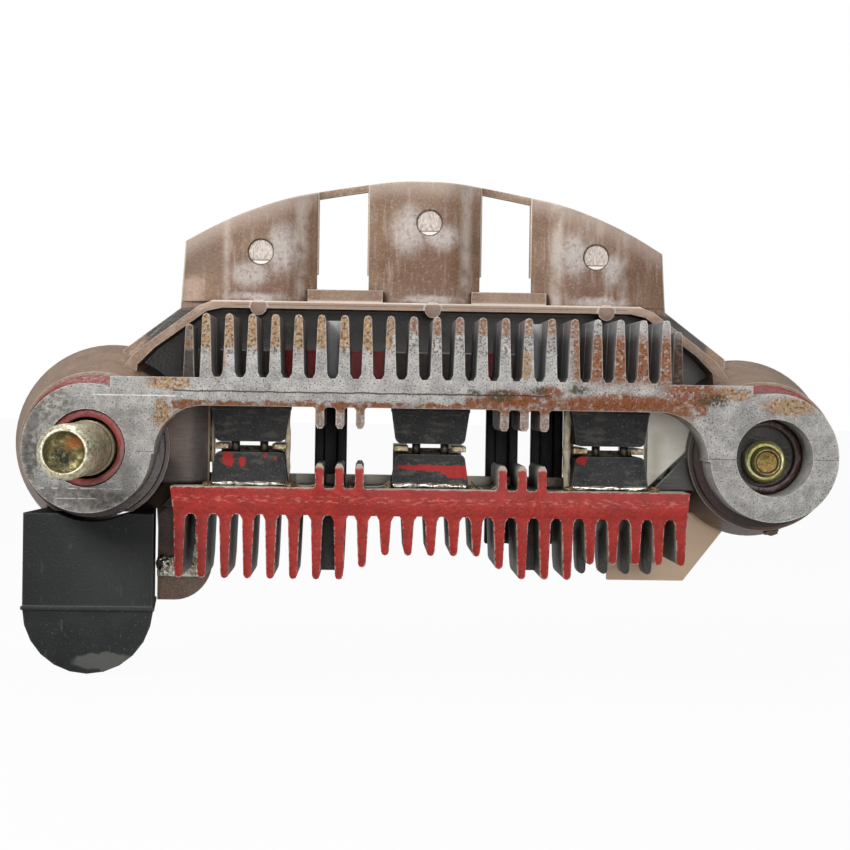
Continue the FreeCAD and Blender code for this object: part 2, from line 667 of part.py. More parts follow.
def right_gusset():
    """Recessed triangle between the right bell and the lower rail, with a skirt below it."""
    ear_x = mm("stud_spacing")
    tip_x = ear_x - mm("gusset_reach")
    tip_z = mm("gusset_height")
    low = mm("rail_bottom")
    back = mm("rail_back")
    floor_front = back - mm("gusset_floor")
    bell_side = ear_x - mm("bell_front_radius") + mm("board_wall") / 2
    lip = mm("board_wall") * 0.8
    shoulder_z = mm("right_bell_flat") + 0.3
    rim = slab([(tip_x, tip_z), (bell_side, lip * 2), (bell_side + lip / 2, lip),
                (tip_x + lip, tip_z - lip / 4), (tip_x + lip, low), (tip_x, low)],
               sink_back + mm("seat_gap") * 3, back)
    floor = slab([(tip_x, tip_z), (bell_side, lip * 2), (bell_side + mm("bell_floor") * 2, low),
                  (tip_x, low)], floor_front, back)
    skirt_left = ear_x - mm("skirt_left_inset")
    skirt = slab([(skirt_left, low + lip), (skirt_left, mm("skirt_bottom")),
                  (ear_x - mm("skirt_right_inset"), mm("skirt_bottom")),
                  (ear_x - mm("skirt_shoulder_inset"), shoulder_z),
                  (ear_x, shoulder_z), (ear_x, low), (bell_side, low + lip)], floor_front, back)
    return [rim, floor, skirt]


def tail_left():
    """Beside the connector housing, which is narrower there than at its face."""
    share = (mm("rail_back") - 1 - mm("connector_front")) / (mm("connector_back") - mm("connector_front"))
    return mm("connector_right") - share * mm("connector_draft") + mm("seam_rise") + mm("seat_gap") / 4


def left_tail():
    """Tail that hangs beside the connector, with one round corner."""
    left = tail_left()
    right = mm("tail_right")
    bottom = mm("tail_bottom")
    front = mm("rail_back") - 0.3
    back = front + mm("tail_thickness")
    tail = block(left, right, front, back, bottom, mm("rail_top") - 1.0)
    edge = [e for e in tail.Edges if abs(e.BoundBox.YLength - (back - front)) < 0.01
            and e.BoundBox.XMin > right - 0.01 and e.BoundBox.ZMax < bottom + 0.01]
    return tail.makeFillet(mm("tail_corner"), edge)


def terminal_board():
    span = mm("stud_spacing")
    x = mm("board_middle")
    back = mm("wall_back")
    rail_back = mm("rail_back")
    ledge_half = mm("strut_foot") - 12
    left_bell, left_hollow = bell(0, mm("bell_rim_radius"))
    right_bell, right_hollow = bell(span, mm("right_bell_rim_radius"))
    rim = mm("right_bell_rim_radius") + mm("board_wall")
    right_bell = right_bell.cut(block(span - rim, span + rim, sink_back + 1, mm("bell_depth") + 1, -2 * rim,
                                      mm("right_bell_flat")))
    pieces = [
        left_bell, right_bell, shelf(), rear_wall(), air_baffle(), left_tail(),
        block(x - ledge_half, x + ledge_half, mm("ledge_front"), back,
              mm("rear_wall_bottom"), mm("ledge_height")),
        block(tail_left(), span - mm("gusset_reach") + 1, mm("rail_front"), rail_back,
              mm("rail_bottom"), mm("rail_top")),
    ]
    pieces += sills() + right_gusset()
    for step in (-1, 0, 1):
        pieces.append(faceted_rod(mm("pad_radius"), mm("shelf_front") - mm("seat_gap"), back,
                                  middle + mm("pad_shift") + step * mm("diode_pitch"),
                                  mm("shelf_top") - mm("pad_drop"), pad_sides))
    board = join(pieces)
    cuts = [
        rod(mm("stud_radius") + mm("shank_step") + mm("seat_gap"), 0, back, 0, 0),
        rod(mm("bolt_radius") + mm("seat_gap"), 0, back, span, -mm("bolt_drop")),
        left_hollow, right_hollow, connector_room(), bus_room(),
    ]
    for cut in cuts:
        board = board.cut(cut)
    return solid_feature("terminal_board", board)


def connector_room():
    """Room under the left bell for the connector housing."""
    gap = mm("seat_gap")
    return housing_block(gap, 0, mm("bell_depth") + 1, mm("connector_top") + gap)


def bus_path(grow):
    """Outline of the bus strap's run from inside the bell to its pad."""
    arm = mm("bus_arm_width") / 2
    top = mm("positive_beam_top")
    low = mm("positive_beam_bottom")
    start = bus_riser_x() - mm("bus_thickness")
    pad = mm("bus_run") + mm("lug_width") / 2
    return [(start, arm + grow), (start + 2.8, arm + grow), (mm("bus_run") - 2.5, top + grow),
            (pad + grow, top + grow), (pad + grow, low - grow), (start + 5.5, low - grow),
            (start, -arm - grow)]


def bus_riser_x():
    return mm("bell_front_radius") - mm("board_wall") - 2.5 * mm("seat_gap")


def bus_room():
    """Slot for the bus strap, open to the back, through the bell's side and the rail."""
    gap = mm("seat_gap")
    y0 = sink_back + mm("lug_depth")
    slot = slab(bus_path(gap), y0 - gap, y0 + mm("bus_thickness") + gap)
    entry = block(bus_riser_x(), bus_riser_x() + 6, y0, mm("bell_depth") + 1,
                  -mm("bus_arm_width") / 2 - 3 * gap, mm("bus_arm_width") / 2 + gap)
    lug = block(mm("bus_run") - mm("lug_width") / 2 - gap, mm("bus_run") + mm("lug_width") / 2 + gap,
                sink_back, y0, mm("positive_beam_bottom") - gap, mm("positive_beam_top") + gap)
    return slot.multiFuse([entry, lug])


# Straps and plates

def battery_bus():
    """Strap from the stud's head along the bell's floor, back and out to the positive pad."""
    floor = mm("board_front") + mm("bell_floor")
    y0 = sink_back + mm("lug_depth")
    thick = mm("bus_thickness")
    arm = mm("bus_arm_width") / 2
    riser_x = bus_riser_x()
    eye = rod(mm("bus_eye_radius"), floor, floor + thick, 0, 0)
    foot = block(0, riser_x, floor, floor + thick, -arm, arm)
    riser = block(riser_x - thick, riser_x, floor, y0 + thick, -arm, arm)
    run = slab(bus_path(0), y0, y0 + thick)
    strap = join([eye, foot, riser, run])
    strap = strap.cut(rod(mm("stud_radius") + mm("shank_step"), 0, y0, 0, 0))
    return solid_feature("battery_bus", strap)


def phase_terminal(name, x, riser_offset):
    """Two prongs between a pair of diodes, with a plate that hangs from them behind the rail."""
    thick = mm("strip_thickness")
    plate = mm("plate_thickness")
    reach = mm("strip_reach")
    opening = mm("strip_opening")
    front = mm("diode_front") + 2 * mm("wire_radius") + 0.5
    back = mm("rail_back") + mm("seat_gap")
    low = (mm("negative_diode_nose") + mm("positive_diode_nose") - thick) / 2
    pieces = [block(x - reach, x - opening, front, back + plate, low, low + thick),
              block(x + opening, x + reach, front, back + plate, low, low + thick),
              block(x - reach, x + reach, back, back + plate, mm("rail_top") - 3.4, low + thick / 4)]
    if riser_offset:
        edge = x - riser_offset
        leg_back = mm("rail_front") - mm("seat_gap")
        pieces.append(block(edge, x - opening, leg_back - 2 * plate, leg_back, low, low + plate))
        pieces.append(block(edge, edge + 1.7, leg_back - plate, leg_back, mm("rail_top") + 1.8,
                            mm("negative_beam_bottom")))
    return solid_feature("phase_terminal_" + name, join(pieces))


def lead_wires(name, x):
    """Two short leads that tie the noses of a pair of diodes in front of the prongs."""
    y = mm("diode_front") + mm("wire_radius") + 0.2
    low = mm("positive_diode_nose")
    rise = mm("negative_diode_nose") - low
    wires = []
    for way in (-1, 1):
        ring = arc_corners(x + way * mm("wire_spacing") / 2, y, mm("wire_radius"), 0, 360, wire_sides)
        points = [Vector(across, depth, low) for across, depth in ring[:-1]]
        wires.append(Part.Face(Part.makePolygon(points + points[:1])).extrude(Vector(0, 0, rise)))
    return solid_feature("lead_wires_" + name, Part.makeCompound(wires))


riser_offsets = (8.0, 0.0, 6.1)


# Pieces drawn on their own planes

def diode(side, name, place):
    """Moulded diode: a soldered foot against its sink and a tapered body to its terminal."""
    x = "stud_spacing / 2 + (%d) * diode_pitch" % place
    label = side + "_diode_" + name
    body = body_at(label, x=x)
    if side == "negative":
        base, nose, way = "negative_beam_bottom", "negative_diode_nose", "-"
    else:
        base, nose, way = "positive_beam_top", "positive_diode_nose", "+"
    shoulder = "%s %s solder_thickness" % (base, way)
    wide = "diode_base_width / 2"
    narrow = "diode_nose_width / 2"
    foot = "diode_base_width / 2 + solder_rim"
    pad_along_y(body, [("-(%s)" % wide, shoulder), (wide, shoulder), (narrow, nose),
                       ("-(%s)" % narrow, nose)], "diode_front", "diode_depth", label + "_body")
    rounded = [("Edge%d" % (number + 1)) for number, edge in enumerate(body.Shape.Edges)
               if abs(edge.BoundBox.YLength - mm("diode_depth")) < 0.01
               and abs(abs(edge.CenterOfMass.x - middle - place * mm("diode_pitch"))
                       - mm("diode_nose_width") / 2) < 0.01]
    fillet = body.newObject("PartDesign::Fillet", label + "_corners")
    fillet.Base = (body.Tip if body.Tip != fillet else fillet.BaseFeature, rounded)
    fillet.setExpression("Radius", formula("diode_corner"))
    doc.recompute()
    pad_along_y(body, [("-(%s)" % foot, base), (foot, base), (foot, shoulder),
                       ("-(%s)" % foot, shoulder)],
                "diode_front - solder_rim", "diode_depth + 2 * solder_rim", label + "_foot")
    return body


def lead_guide(name, alias):
    """Black moulded guide that leads a stator wire down behind the sinks."""
    body = body_at("lead_guide_" + name, x=alias)
    half = "guide_width / 2"
    pad_along_y(body, [("-(%s)" % half, "guide_bottom"), (half, "guide_bottom"), (half, "guide_top"),
                       ("-(%s)" % half, "guide_top")], "rail_back + seat_gap / 2", "guide_thickness",
                "lead_guide_" + name + "_bar")
    groove = "guide_slot_radius"
    pocket_along_y(body, [("-(%s)" % groove, "guide_bottom - 1"), (groove, "guide_bottom - 1"),
                          (groove, "guide_top + 1"), ("-(%s)" % groove, "guide_top + 1")],
                   "rail_back + seat_gap / 2 + guide_thickness - guide_slot_radius",
                   "guide_slot_radius + 1",
                   "lead_guide_" + name + "_groove")
    return body


def battery_stud():
    """Stud with a cupped end at the front and a square-shouldered head in the bell."""
    head = "board_front + bell_floor + bus_thickness"
    body = turned_body("battery_stud", [
        ("0", "-stud_reach + stud_cup_depth"), ("stud_cup_radius", "-stud_reach + stud_cup_depth"),
        ("stud_cup_radius", "-stud_reach"), ("stud_radius - stud_chamfer", "-stud_reach"),
        ("stud_radius", "-stud_reach + stud_chamfer"), ("stud_radius", "0"),
        ("stud_radius + shank_step", "0"), ("stud_radius + shank_step", head), ("0", head)])
    hexagon = []
    for corner in range(6):
        angle = math.radians(60 * corner + 30)
        reach = "stud_flats / %.6f" % (2 * math.cos(math.radians(30)))
        hexagon.append(("%s * %.6f" % (reach, math.cos(angle)), "%s * %.6f" % (reach, math.sin(angle))))
    pad_along_y(body, hexagon, head, "stud_head_height", "battery_stud_head")
    return body


def clamp_bolt():
    body = turned_body("clamp_bolt", [
        ("0", "bolt_tip + 0.5"), ("bolt_radius - 0.7", "bolt_tip + 0.5"), ("bolt_radius - 0.5", "bolt_tip"),
        ("bolt_radius - 0.3", "bolt_tip"), ("bolt_radius", "bolt_tip + 0.3"),
        ("bolt_radius", "board_front + bell_floor"), ("0", "board_front + bell_floor")],
        x="stud_spacing", z="-bolt_drop")
    hexagon = []
    for corner in range(6):
        angle = math.radians(60 * corner)
        reach = "bolt_flats / %.6f" % (2 * math.cos(math.radians(30)))
        hexagon.append(("%s * %.6f" % (reach, math.cos(angle)), "%s * %.6f" % (reach, math.sin(angle))))
    pad_along_y(body, hexagon, "board_front + bell_floor", "bolt_head_height", "clamp_bolt_head")
    return body


def insulator(label, x, front):
    """Flanged bush: its tube stands in the ear's bore and its flange lies behind the ear."""
    inside = "ear_bore_radius - sleeve_wall"
    outside = "ear_bore_radius - seat_gap / 4"
    flange_back = "ear_depth + washer_thickness"
    return turned_body(label, [
        (inside, front), (outside, front), (outside, "ear_depth"), ("washer_radius", "ear_depth"),
        ("washer_radius", flange_back), (inside, flange_back)], x=x)


def collar_nut():
    return turned_body("collar_nut", [
        ("bolt_radius", "collar_front"), ("collar_radius - 0.4", "collar_front"),
        ("collar_radius", "collar_front + 0.4"), ("collar_radius", "board_front"),
        ("bolt_radius", "board_front")], x="stud_spacing", z="-bolt_drop")


def housing_block(grow, y0, y1, top):
    """Block with a round lower end that narrows from y0 to y1, `grow` outside the housing."""
    x = (mm("connector_left") + mm("connector_right")) / 2
    seam = mm("connector_seam")
    slope = mm("connector_draft") / (mm("connector_back") - mm("connector_front"))
    outlines = []
    for y in (y0, y1):
        narrowing = slope * (y - mm("connector_front"))
        half = (mm("connector_right") - mm("connector_left")) / 2 + grow - narrowing
        corners = [Vector(x + half, y, seam), Vector(x + half, y, top), Vector(x - half, y, top)]
        round_end = [Vector(across, y, height)
                     for across, height in arc_corners(x, seam, half, 180, 360, housing_sides)]
        outlines.append(Part.makePolygon(corners + round_end))
    return Part.makeLoft(outlines, True, True)


def connector_housing():
    """Socket housing with a round lower end, a hollow under the ear and a seam across it."""
    front = mm("connector_front")
    back = mm("connector_back")
    seam = mm("connector_seam")
    wall = mm("connector_wall")
    rise = mm("seam_rise")
    half_band = mm("seam_height") / 2
    side = mm("connector_right") + wall
    shell = housing_block(0, front, back, mm("connector_top"))
    ridge = housing_block(rise, front - rise, back, seam + half_band)
    ridge = ridge.common(block(mm("connector_left") - wall, side, front - rise, back, seam - half_band,
                               seam + half_band))
    socket = housing_block(-wall, front + wall, back + 1, -mm("connector_cup_radius") - wall)
    ear_hollow = rod(mm("connector_cup_radius"), 0, back + 1, 0, 0)
    shape = shell.fuse(ridge).cut(socket).cut(ear_hollow).removeSplitter()
    return solid_feature("connector_housing", shape)


def connector_blades():
    for label, height in (("upper_blade", "blade_upper"), ("lower_blade", "blade_lower")):
        box_part(label, "(connector_left + connector_right) / 2 - blade_width / 2",
                 "connector_front + connector_wall", height,
                 "blade_width", "blade_length", "blade_thickness")


def sense_strap():
    """Tinned strap from the connector's side up to the bus strap's pad."""
    y1 = mm("rail_back") - 0.3 - mm("seat_gap") / 2
    y0 = y1 - mm("sense_thickness")
    low = mm("sense_height")
    right = mm("tail_right") - 1.6
    arm = block(tail_left(), right, y0, y1, low, low + mm("sense_width"))
    riser = block(right - mm("sense_width"), right, y0, y1, low, mm("rail_bottom") - mm("seat_gap"))
    return solid_feature("sense_strap", arm.fuse(riser).removeSplitter())


def fibre_plates():
    for name in ("left", "right"):
        box_part("fibre_plate_" + name, name + "_fibre_start",
                 "ledge_front - fibre_thickness - seat_gap / 4", "rear_wall_bottom + seat_gap",
                 name + "_fibre_width", "fibre_thickness",
                 "ledge_height - rear_wall_bottom - seat_gap")


negative_heat_sink()
positive_heat_sink()
terminal_board()
battery_bus()
sense_strap()
for place, phase in zip((-1, 0, 1), phase_names):
    phase_x = middle + place * mm("diode_pitch")
    diode("negative", phase, place)
    diode("positive", phase, place)
    lead_wires(phase, phase_x)
    phase_terminal(phase, phase_x, riser_offsets[place + 1])
for guide, alias in zip(phase_names, ("left_guide", "middle_guide", "right_guide")):
    lead_guide(guide, alias)
battery_stud()
clamp_bolt()
insulator("stud_insulator", "0", "sleeve_setback")
insulator("clamp_insulator", "stud_spacing", "clamp_setback")
collar_nut()
connector_housing()
connector_blades()
fibre_plates()
doc.recompute()

# Every object is sound before anything is written
for item in doc.Objects:
    if "Invalid" in item.State or "Error" in item.State:
        raise RuntimeError("failed: " + item.Label)
for item in parts_made:
    if item.Shape.isNull() or not item.Shape.isValid():
        raise RuntimeError("bad shape: " + item.Label)

os.makedirs("parts", exist_ok=True)
for item in parts_made:
    item.Shape.exportStep("parts/" + item.Label + ".step")
    print(item.Label, len(item.Shape.Solids), round(item.Shape.Volume, 1))
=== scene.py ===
import json
import math

import bmesh
import bpy
import numpy as np
from mathutils import Matrix, Vector


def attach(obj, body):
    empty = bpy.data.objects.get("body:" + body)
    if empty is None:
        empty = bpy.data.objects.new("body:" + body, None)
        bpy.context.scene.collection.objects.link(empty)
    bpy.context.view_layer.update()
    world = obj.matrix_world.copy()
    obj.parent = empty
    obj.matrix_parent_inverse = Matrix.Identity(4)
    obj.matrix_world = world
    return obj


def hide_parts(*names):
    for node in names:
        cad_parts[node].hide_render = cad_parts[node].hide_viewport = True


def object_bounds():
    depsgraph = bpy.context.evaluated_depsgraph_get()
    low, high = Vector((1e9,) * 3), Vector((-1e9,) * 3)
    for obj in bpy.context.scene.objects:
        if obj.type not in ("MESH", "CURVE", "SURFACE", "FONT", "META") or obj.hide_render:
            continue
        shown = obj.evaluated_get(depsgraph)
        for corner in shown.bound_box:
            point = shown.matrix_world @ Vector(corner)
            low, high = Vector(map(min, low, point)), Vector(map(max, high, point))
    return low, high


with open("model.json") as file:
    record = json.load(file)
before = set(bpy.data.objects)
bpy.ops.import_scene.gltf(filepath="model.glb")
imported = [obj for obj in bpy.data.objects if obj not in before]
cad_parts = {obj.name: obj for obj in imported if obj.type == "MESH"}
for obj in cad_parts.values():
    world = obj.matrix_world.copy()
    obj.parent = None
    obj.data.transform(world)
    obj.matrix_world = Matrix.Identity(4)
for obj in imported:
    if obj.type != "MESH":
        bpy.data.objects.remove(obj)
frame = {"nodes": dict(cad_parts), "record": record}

# Alternator rectifier: stained cast heat sinks, diodes between them, brown moulded board behind.
# Sizes in the dictionaries are millimetres; x runs along the fins, y to the back, z up.

mm = 0.001
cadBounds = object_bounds()
scene = bpy.context.scene
socketNames = {"roughness": "Roughness", "metallic": "Metallic", "specular": "Specular IOR Level",
               "coat": "Coat Weight", "coatRoughness": "Coat Roughness"}
ejectorMarks = ((24.9, 31.4), (51.9, 36.5), (78.9, 31.4))      # x and z of the sunk discs in the board's wall


# Small helpers

def linear(hexColour):
    channels = [int(hexColour[i:i + 2], 16) / 255 for i in (1, 3, 5)]
    return tuple(c / 12.92 if c <= 0.04045 else ((c + 0.055) / 1.055) ** 2.4 for c in channels) + (1.0,)


def addNode(tree, kind, inputs=(), out=0, **settings):
    # one node with its settings; an input is a value or the socket that feeds it
    made = tree.nodes.new("ShaderNode" + kind)
    for name, value in settings.items():
        setattr(made, name, value)
    for name, value in dict(inputs).items():
        if isinstance(value, bpy.types.NodeSocket):
            tree.links.new(value, made.inputs[name])
        else:
            made.inputs[name].default_value = value
    return made.outputs[out] if len(made.outputs) else made


def newMaterial(name, **sockets):
    # gives the material, its tree and the place in millimetres; the sockets' values go on its shader
    made = bpy.data.materials.new(name)
    made.use_nodes = True
    tree = made.node_tree
    for socket, value in sockets.items():
        tree.nodes["Principled BSDF"].inputs[socketNames[socket]].default_value = value
    place = addNode(tree, "TexCoord", out="Object")
    where = addNode(tree, "Mapping", {"Vector": place, "Scale": (1000, 1000, 1000)})
    return made, tree, where


def finished(made, colour, height=None, depth=0.0):
    # the material with its colour, and its relief of that depth in mm, joined to the shader
    tree = made.node_tree
    shader = tree.nodes["Principled BSDF"]
    tree.links.new(colour, shader.inputs["Base Color"])
    if height is not None:
        relief = addNode(tree, "Bump", {"Height": height, "Strength": 1.0, "Distance": depth * mm})
        tree.links.new(relief, shader.inputs["Normal"])
    return made


def unevenness(tree, where, size, detail=4.0, rough=0.5):
    # plain noise whose lumps are about that size
    return addNode(tree, "TexNoise", {"Vector": where, "Scale": 1 / size, "Detail": detail, "Roughness": rough})


def ramp(tree, value, low, high, run="SMOOTHSTEP"):
    # 0 up to low, 1 from high on, or the other way round where low is the larger
    return addNode(tree, "MapRange", {"Value": value, "From Min": low, "From Max": high},
                   interpolation_type=run)


def patches(tree, where, size, low, high, detail=4.0, stretch=(1, 1, 1)):
    # blotches of about that size: 0 where the noise is under low, 1 where it is over high
    scaled = addNode(tree, "Mapping", {"Vector": where, "Scale": stretch})
    return ramp(tree, unevenness(tree, scaled, size, detail, 0.6), low, high)


def wander(tree, where, size, reach):
    # the place pushed about by noise, so that a stain's edge isn't straight
    noise = addNode(tree, "TexNoise", {"Vector": where, "Scale": 1 / size, "Detail": 3.0}, out="Color")
    shift = addNode(tree, "VectorMath", {0: noise, 1: (0.5, 0.5, 0.5)}, operation="SUBTRACT")
    return addNode(tree, "VectorMath", {0: shift, 1: (reach, reach, reach), 2: where}, operation="MULTIPLY_ADD")


def both(tree, one, other, how="MULTIPLY"):
    return addNode(tree, "Math", {0: one, 1: other}, operation=how)


def axisOf(tree, vector, axis):
    # one of the vector's three numbers
    return addNode(tree, "SeparateXYZ", {0: vector}, out=axis.upper())


def broken(tree, where, share, *row, **settings):
    # the share only where patches with that row of values are
    return both(tree, share, patches(tree, where, *row, **settings))


def zone(tree, where, soft, **spans):
    # 1 inside the spans of x, y and z and 0 outside, over a soft edge that wide
    mask = None
    for axis, (start, end) in spans.items():
        value = axisOf(tree, where, axis)
        for edge, way in ((start, 1), (end, -1)):
            if edge is None:
                continue
            share = ramp(tree, value, edge - way * soft / 2, edge + way * soft / 2)
            mask = share if mask is None else both(tree, mask, share)
    return mask


def zones(tree, where, soft, rows):
    # 1 inside any of the rows of spans
    mask = zone(tree, where, soft, **rows[0])
    for spans in rows[1:]:
        mask = both(tree, mask, zone(tree, where, soft, **spans), "MAXIMUM")
    return mask


def stains(tree, where, rows, soft=0.35):
    # 1 inside ellipses given by their middle x and z and their reach along x and z
    mask = None
    for x, z, reachX, reachZ in rows:
        scaled = addNode(tree, "Mapping", {"Vector": where, "Location": (-x / reachX, 0, -z / reachZ),
                                           "Scale": (1 / reachX, 0, 1 / reachZ)})
        away = addNode(tree, "VectorMath", {0: scaled}, out="Value", operation="LENGTH")
        share = ramp(tree, away, 1 + soft, 1 - soft)
        mask = share if mask is None else both(tree, mask, share, "MAXIMUM")
    return mask


def tint(tree, colour, share, other, strength=1.0):
    # the colour with another laid over it where share is 1; each is a hexadecimal code or a socket
    if strength != 1.0:
        share = both(tree, share, strength)
    colour, other = (linear(one) if isinstance(one, str) else one for one in (colour, other))
    return addNode(tree, "Mix", {0: share, 6: colour, 7: other}, out=2, data_type="RGBA")


def facing(tree, axis):
    # how far the surface looks along that axis, 0 to 1, whichever way
    normal = addNode(tree, "NewGeometry", out="Normal")
    return addNode(tree, "Math", {0: axisOf(tree, normal, axis)}, operation="ABSOLUTE")


def edges(tree, reach, low, high):
    # 1 on outer edges, where the solid behind the surface is cut off within the reach; most materials paint
    # highlights on their rims with it
    inside = addNode(tree, "AmbientOcclusion", {"Distance": reach * mm}, out="AO", samples=6, inside=True)
    return ramp(tree, inside, high, low, "LINEAR")


def corners(tree, reach, low, high):
    # 1 in inner corners and beside what stands close, found by ambient occlusion; the materials paint shade
    # there with it
    clear = addNode(tree, "AmbientOcclusion", {"Distance": reach * mm}, out="AO", samples=6)
    return ramp(tree, clear, high, low, "LINEAR")


def underSlant(tree, where, start, end):
    # the shade right of the last diode ends at a slanting line: 0 over it and 1 under it
    slant = addNode(tree, "VectorMath", {0: where, 1: (0.731, 0, -0.682)}, out="Value", operation="DOT_PRODUCT")
    return ramp(tree, slant, start, end, "LINEAR")


# Materials

def castAluminium():
    # sand-cast aluminium, years in hot air: sparkling grey grain with sandy tan and rust-brown residue
    made, tree, where = newMaterial("castAluminium", roughness=0.55, metallic=0.25)
    drift = wander(tree, where, 1.3, 1.6)
    cloud = patches(tree, where, 2.6, 0.3, 0.72)
    colour = tint(tree, "#979593", cloud, "#c4c1bd")
    light = patches(tree, where, 0.3, 0.54, 0.66, 3.0)
    colour = tint(tree, colour, light, "#e2ded7", 0.55)
    dark = patches(tree, where, 0.27, 0.56, 0.64, 2.0)
    colour = tint(tree, colour, dark, "#3a3733", 0.8)
    ears = stains(tree, where, [(0, 0, 9.4, 9.4), (104.5, 0, 9.4, 9.4)], 0.08)
    film = patches(tree, where, 1.9, 0.38, 0.66)
    colour = tint(tree, colour, both(tree, ears, film), "#8a8987", 0.6)
    # dark greenish pits on the left ear, scratches near its lower edge
    pits = stains(tree, drift, [(-5.2, 6.4, 3.2, 2.6), (-8.4, -2.0, 1.2, 5.0), (4.6, -8.0, 6.5, 1.2)])
    pits = broken(tree, where, pits, 0.8, 0.42, 0.58)
    colour = tint(tree, colour, pits, "#57543f", 0.7)
    # darker blotches low on the left ear and along its left side
    darkBlotches = stains(tree, drift, [(-1, -7.6, 7, 2.2), (-8.3, 1.5, 1.6, 6)], 0.4)
    darkBlotches = broken(tree, where, darkBlotches, 1.2, 0.25, 0.6)
    colour = tint(tree, colour, darkBlotches, "#3d3a36", 0.65)
    scratch = broken(tree, where, zone(tree, where, 0.12, x=(-7.5, 5.5), z=(-6.2, -6.05)), 1.4, 0.42, 0.5)
    other = broken(tree, where, zone(tree, where, 0.12, x=(-7.8, 1.5), z=(-7.7, -7.58)), 2.0, 0.4, 0.5)
    colour = tint(tree, colour, both(tree, scratch, other, "MAXIMUM"), "#e6e3dd", 0.8)
    # sandy tan on the fins' upper parts, browner at the right
    grit = patches(tree, where, 0.45, 0.36, 0.55, 5.0)
    left = zone(tree, drift, 1.2, x=(None, 46), z=(15.6, None))
    middle = zone(tree, drift, 1.0, x=(46, 76), z=(18.0, None))
    colour = tint(tree, colour, both(tree, left, grit), "#b08348", 0.9)
    burnt = broken(tree, where, zone(tree, drift, 1.0, x=(14, 80), z=(14.6, None)), 0.5, 0.5, 0.58, 4.0)
    colour = tint(tree, colour, burnt, "#4b3320", 0.75)
    colour = tint(tree, colour, both(tree, middle, grit), "#8c5428", 0.75)
    spots = stains(tree, drift, [(12.4, 10.1, 3.2, 1.1), (11.4, 5.4, 1.3, 2.3), (97.4, 9.6, 3.6, 1.0),
                                 (106.4, 7.9, 4.0, 1.3), (19.6, 14.2, 1.2, 3.0), (66.2, 13.5, 0.9, 2.0)])
    colour = tint(tree, colour, both(tree, spots, grit), "#a97f48", 0.9)
    colour = tint(tree, colour, broken(tree, where, spots, 0.5, 0.52, 0.6), "#4d3a22", 0.8)
    # rust on the right fins and along the beam's right half
    rough = patches(tree, where, 0.9, 0.3, 0.52, 5.0)
    right = zone(tree, drift, 2.4, x=(73.5, 94), z=(11.0, 18.2))
    ends = stains(tree, drift, [(91.6, 9.6, 4.4, 1.9), (81, 8.0, 9, 1.3), (64, 8.4, 4.5, 1.2),
                                (70, 9.4, 2.2, 1.0)])
    colour = tint(tree, colour, both(tree, right, rough), "#874a12", 0.92)
    colour = tint(tree, colour, broken(tree, where, right, 0.45, 0.52, 0.6), "#3d2413", 0.75)
    colour = tint(tree, colour, both(tree, ends, rough), "#83400f", 0.88)
    colour = tint(tree, colour, broken(tree, where, ends, 0.4, 0.54, 0.6), "#2f1c10", 0.7)
    colour = tint(tree, colour, broken(tree, where, ends, 0.5, 0.6, 0.66, 2.0), "#efe9df", 0.45)
    # burnt varnish along the beam's lower edge, a dark parting line over it
    low = broken(tree, where, zone(tree, drift, 0.4, x=(13, 58), z=(6.0, 7.5)), 1.3, 0.36, 0.52)
    right = broken(tree, where, zone(tree, drift, 0.9, x=(57, 94), z=(6.0, 8.6)), 1.2, 0.34, 0.56)
    low = both(tree, low, right, "MAXIMUM")
    colour = tint(tree, colour, low, "#834610", 0.9)
    colour = tint(tree, colour, broken(tree, where, low, 0.4, 0.53, 0.6), "#35200f", 0.7)
    moss = stains(tree, drift, [(62.6, 8.9, 2.2, 0.9), (68.4, 9.8, 1.3, 0.6), (74.2, 10.0, 1.4, 0.6),
                                (27.4, 9.6, 0.5, 0.3), (58.4, 9.2, 1.0, 0.5), (95.0, 8.6, 2.4, 1.0)], 0.4)
    moss = broken(tree, where, moss, 0.5, 0.4, 0.52, 5.0)
    colour = tint(tree, colour, moss, "#3c3a20", 0.9)
    under = zone(tree, where, 0.3, x=(13, 92), z=(3.0, 6.9), y=(None, 9))
    colour = tint(tree, colour, both(tree, under, grit), "#7f512e", 0.6)
    crack = zone(tree, wander(tree, where, 3.0, 0.5), 0.12, x=(13, 70), z=(8.8, 9.02))
    crack = broken(tree, where, crack, 1.3, 0.3, 0.42)
    colour = tint(tree, colour, crack, "#2c2a24", 0.9)
    # painted highlight: a thin bright broken line crossing the left ear
    ridgeHighlight = broken(tree, where, zone(tree, where, 0.12, x=(1, 14.5), z=(8.02, 8.2)), 1.8, 0.3, 0.4)
    colour = tint(tree, colour, ridgeHighlight, "#eeebe4", 0.9)
    seam = zones(tree, where, 0.08, [{"x": (7.5, 10), "z": (-0.42, -0.32)},
                                     {"x": (94, 99), "z": (-0.35, -0.25)},
                                     {"x": (110.5, 114.5), "z": (-0.25, -0.15)}])
    colour = tint(tree, colour, seam, "#3a3834", 0.8)
    # flanks painted a darker blue-grey as shade, webs painted pale to offset the shade they lie in, and painted
    # shade deepening towards the back
    flank = both(tree, facing(tree, "x"), 0.6, "GREATER_THAN")
    colour = tint(tree, colour, both(tree, flank, zone(tree, where, 0.4, z=(10.9, None))), "#74767a", 0.7)
    web = zone(tree, where, 0.6, y=(11.7, 12.6), z=(11.2, 20.4))
    colour = tint(tree, colour, web, "#c2c4c8", 0.9)
    deep = zone(tree, where, 9.0, y=(8.5, None))
    colour = tint(tree, colour, both(tree, deep, both(tree, 1.0, web, "SUBTRACT")), "#35312d", 0.45)
    foot = zone(tree, where, 0.8, y=(11, 13), z=(10.9, 15.3))
    foot = both(tree, foot, zone(tree, where, 0.4, x=(13.2, 15.6)))
    foot = both(tree, foot, both(tree, facing(tree, "y"), 0.5, "GREATER_THAN"))
    colour = tint(tree, colour, foot, "#3b2c20", 0.85)
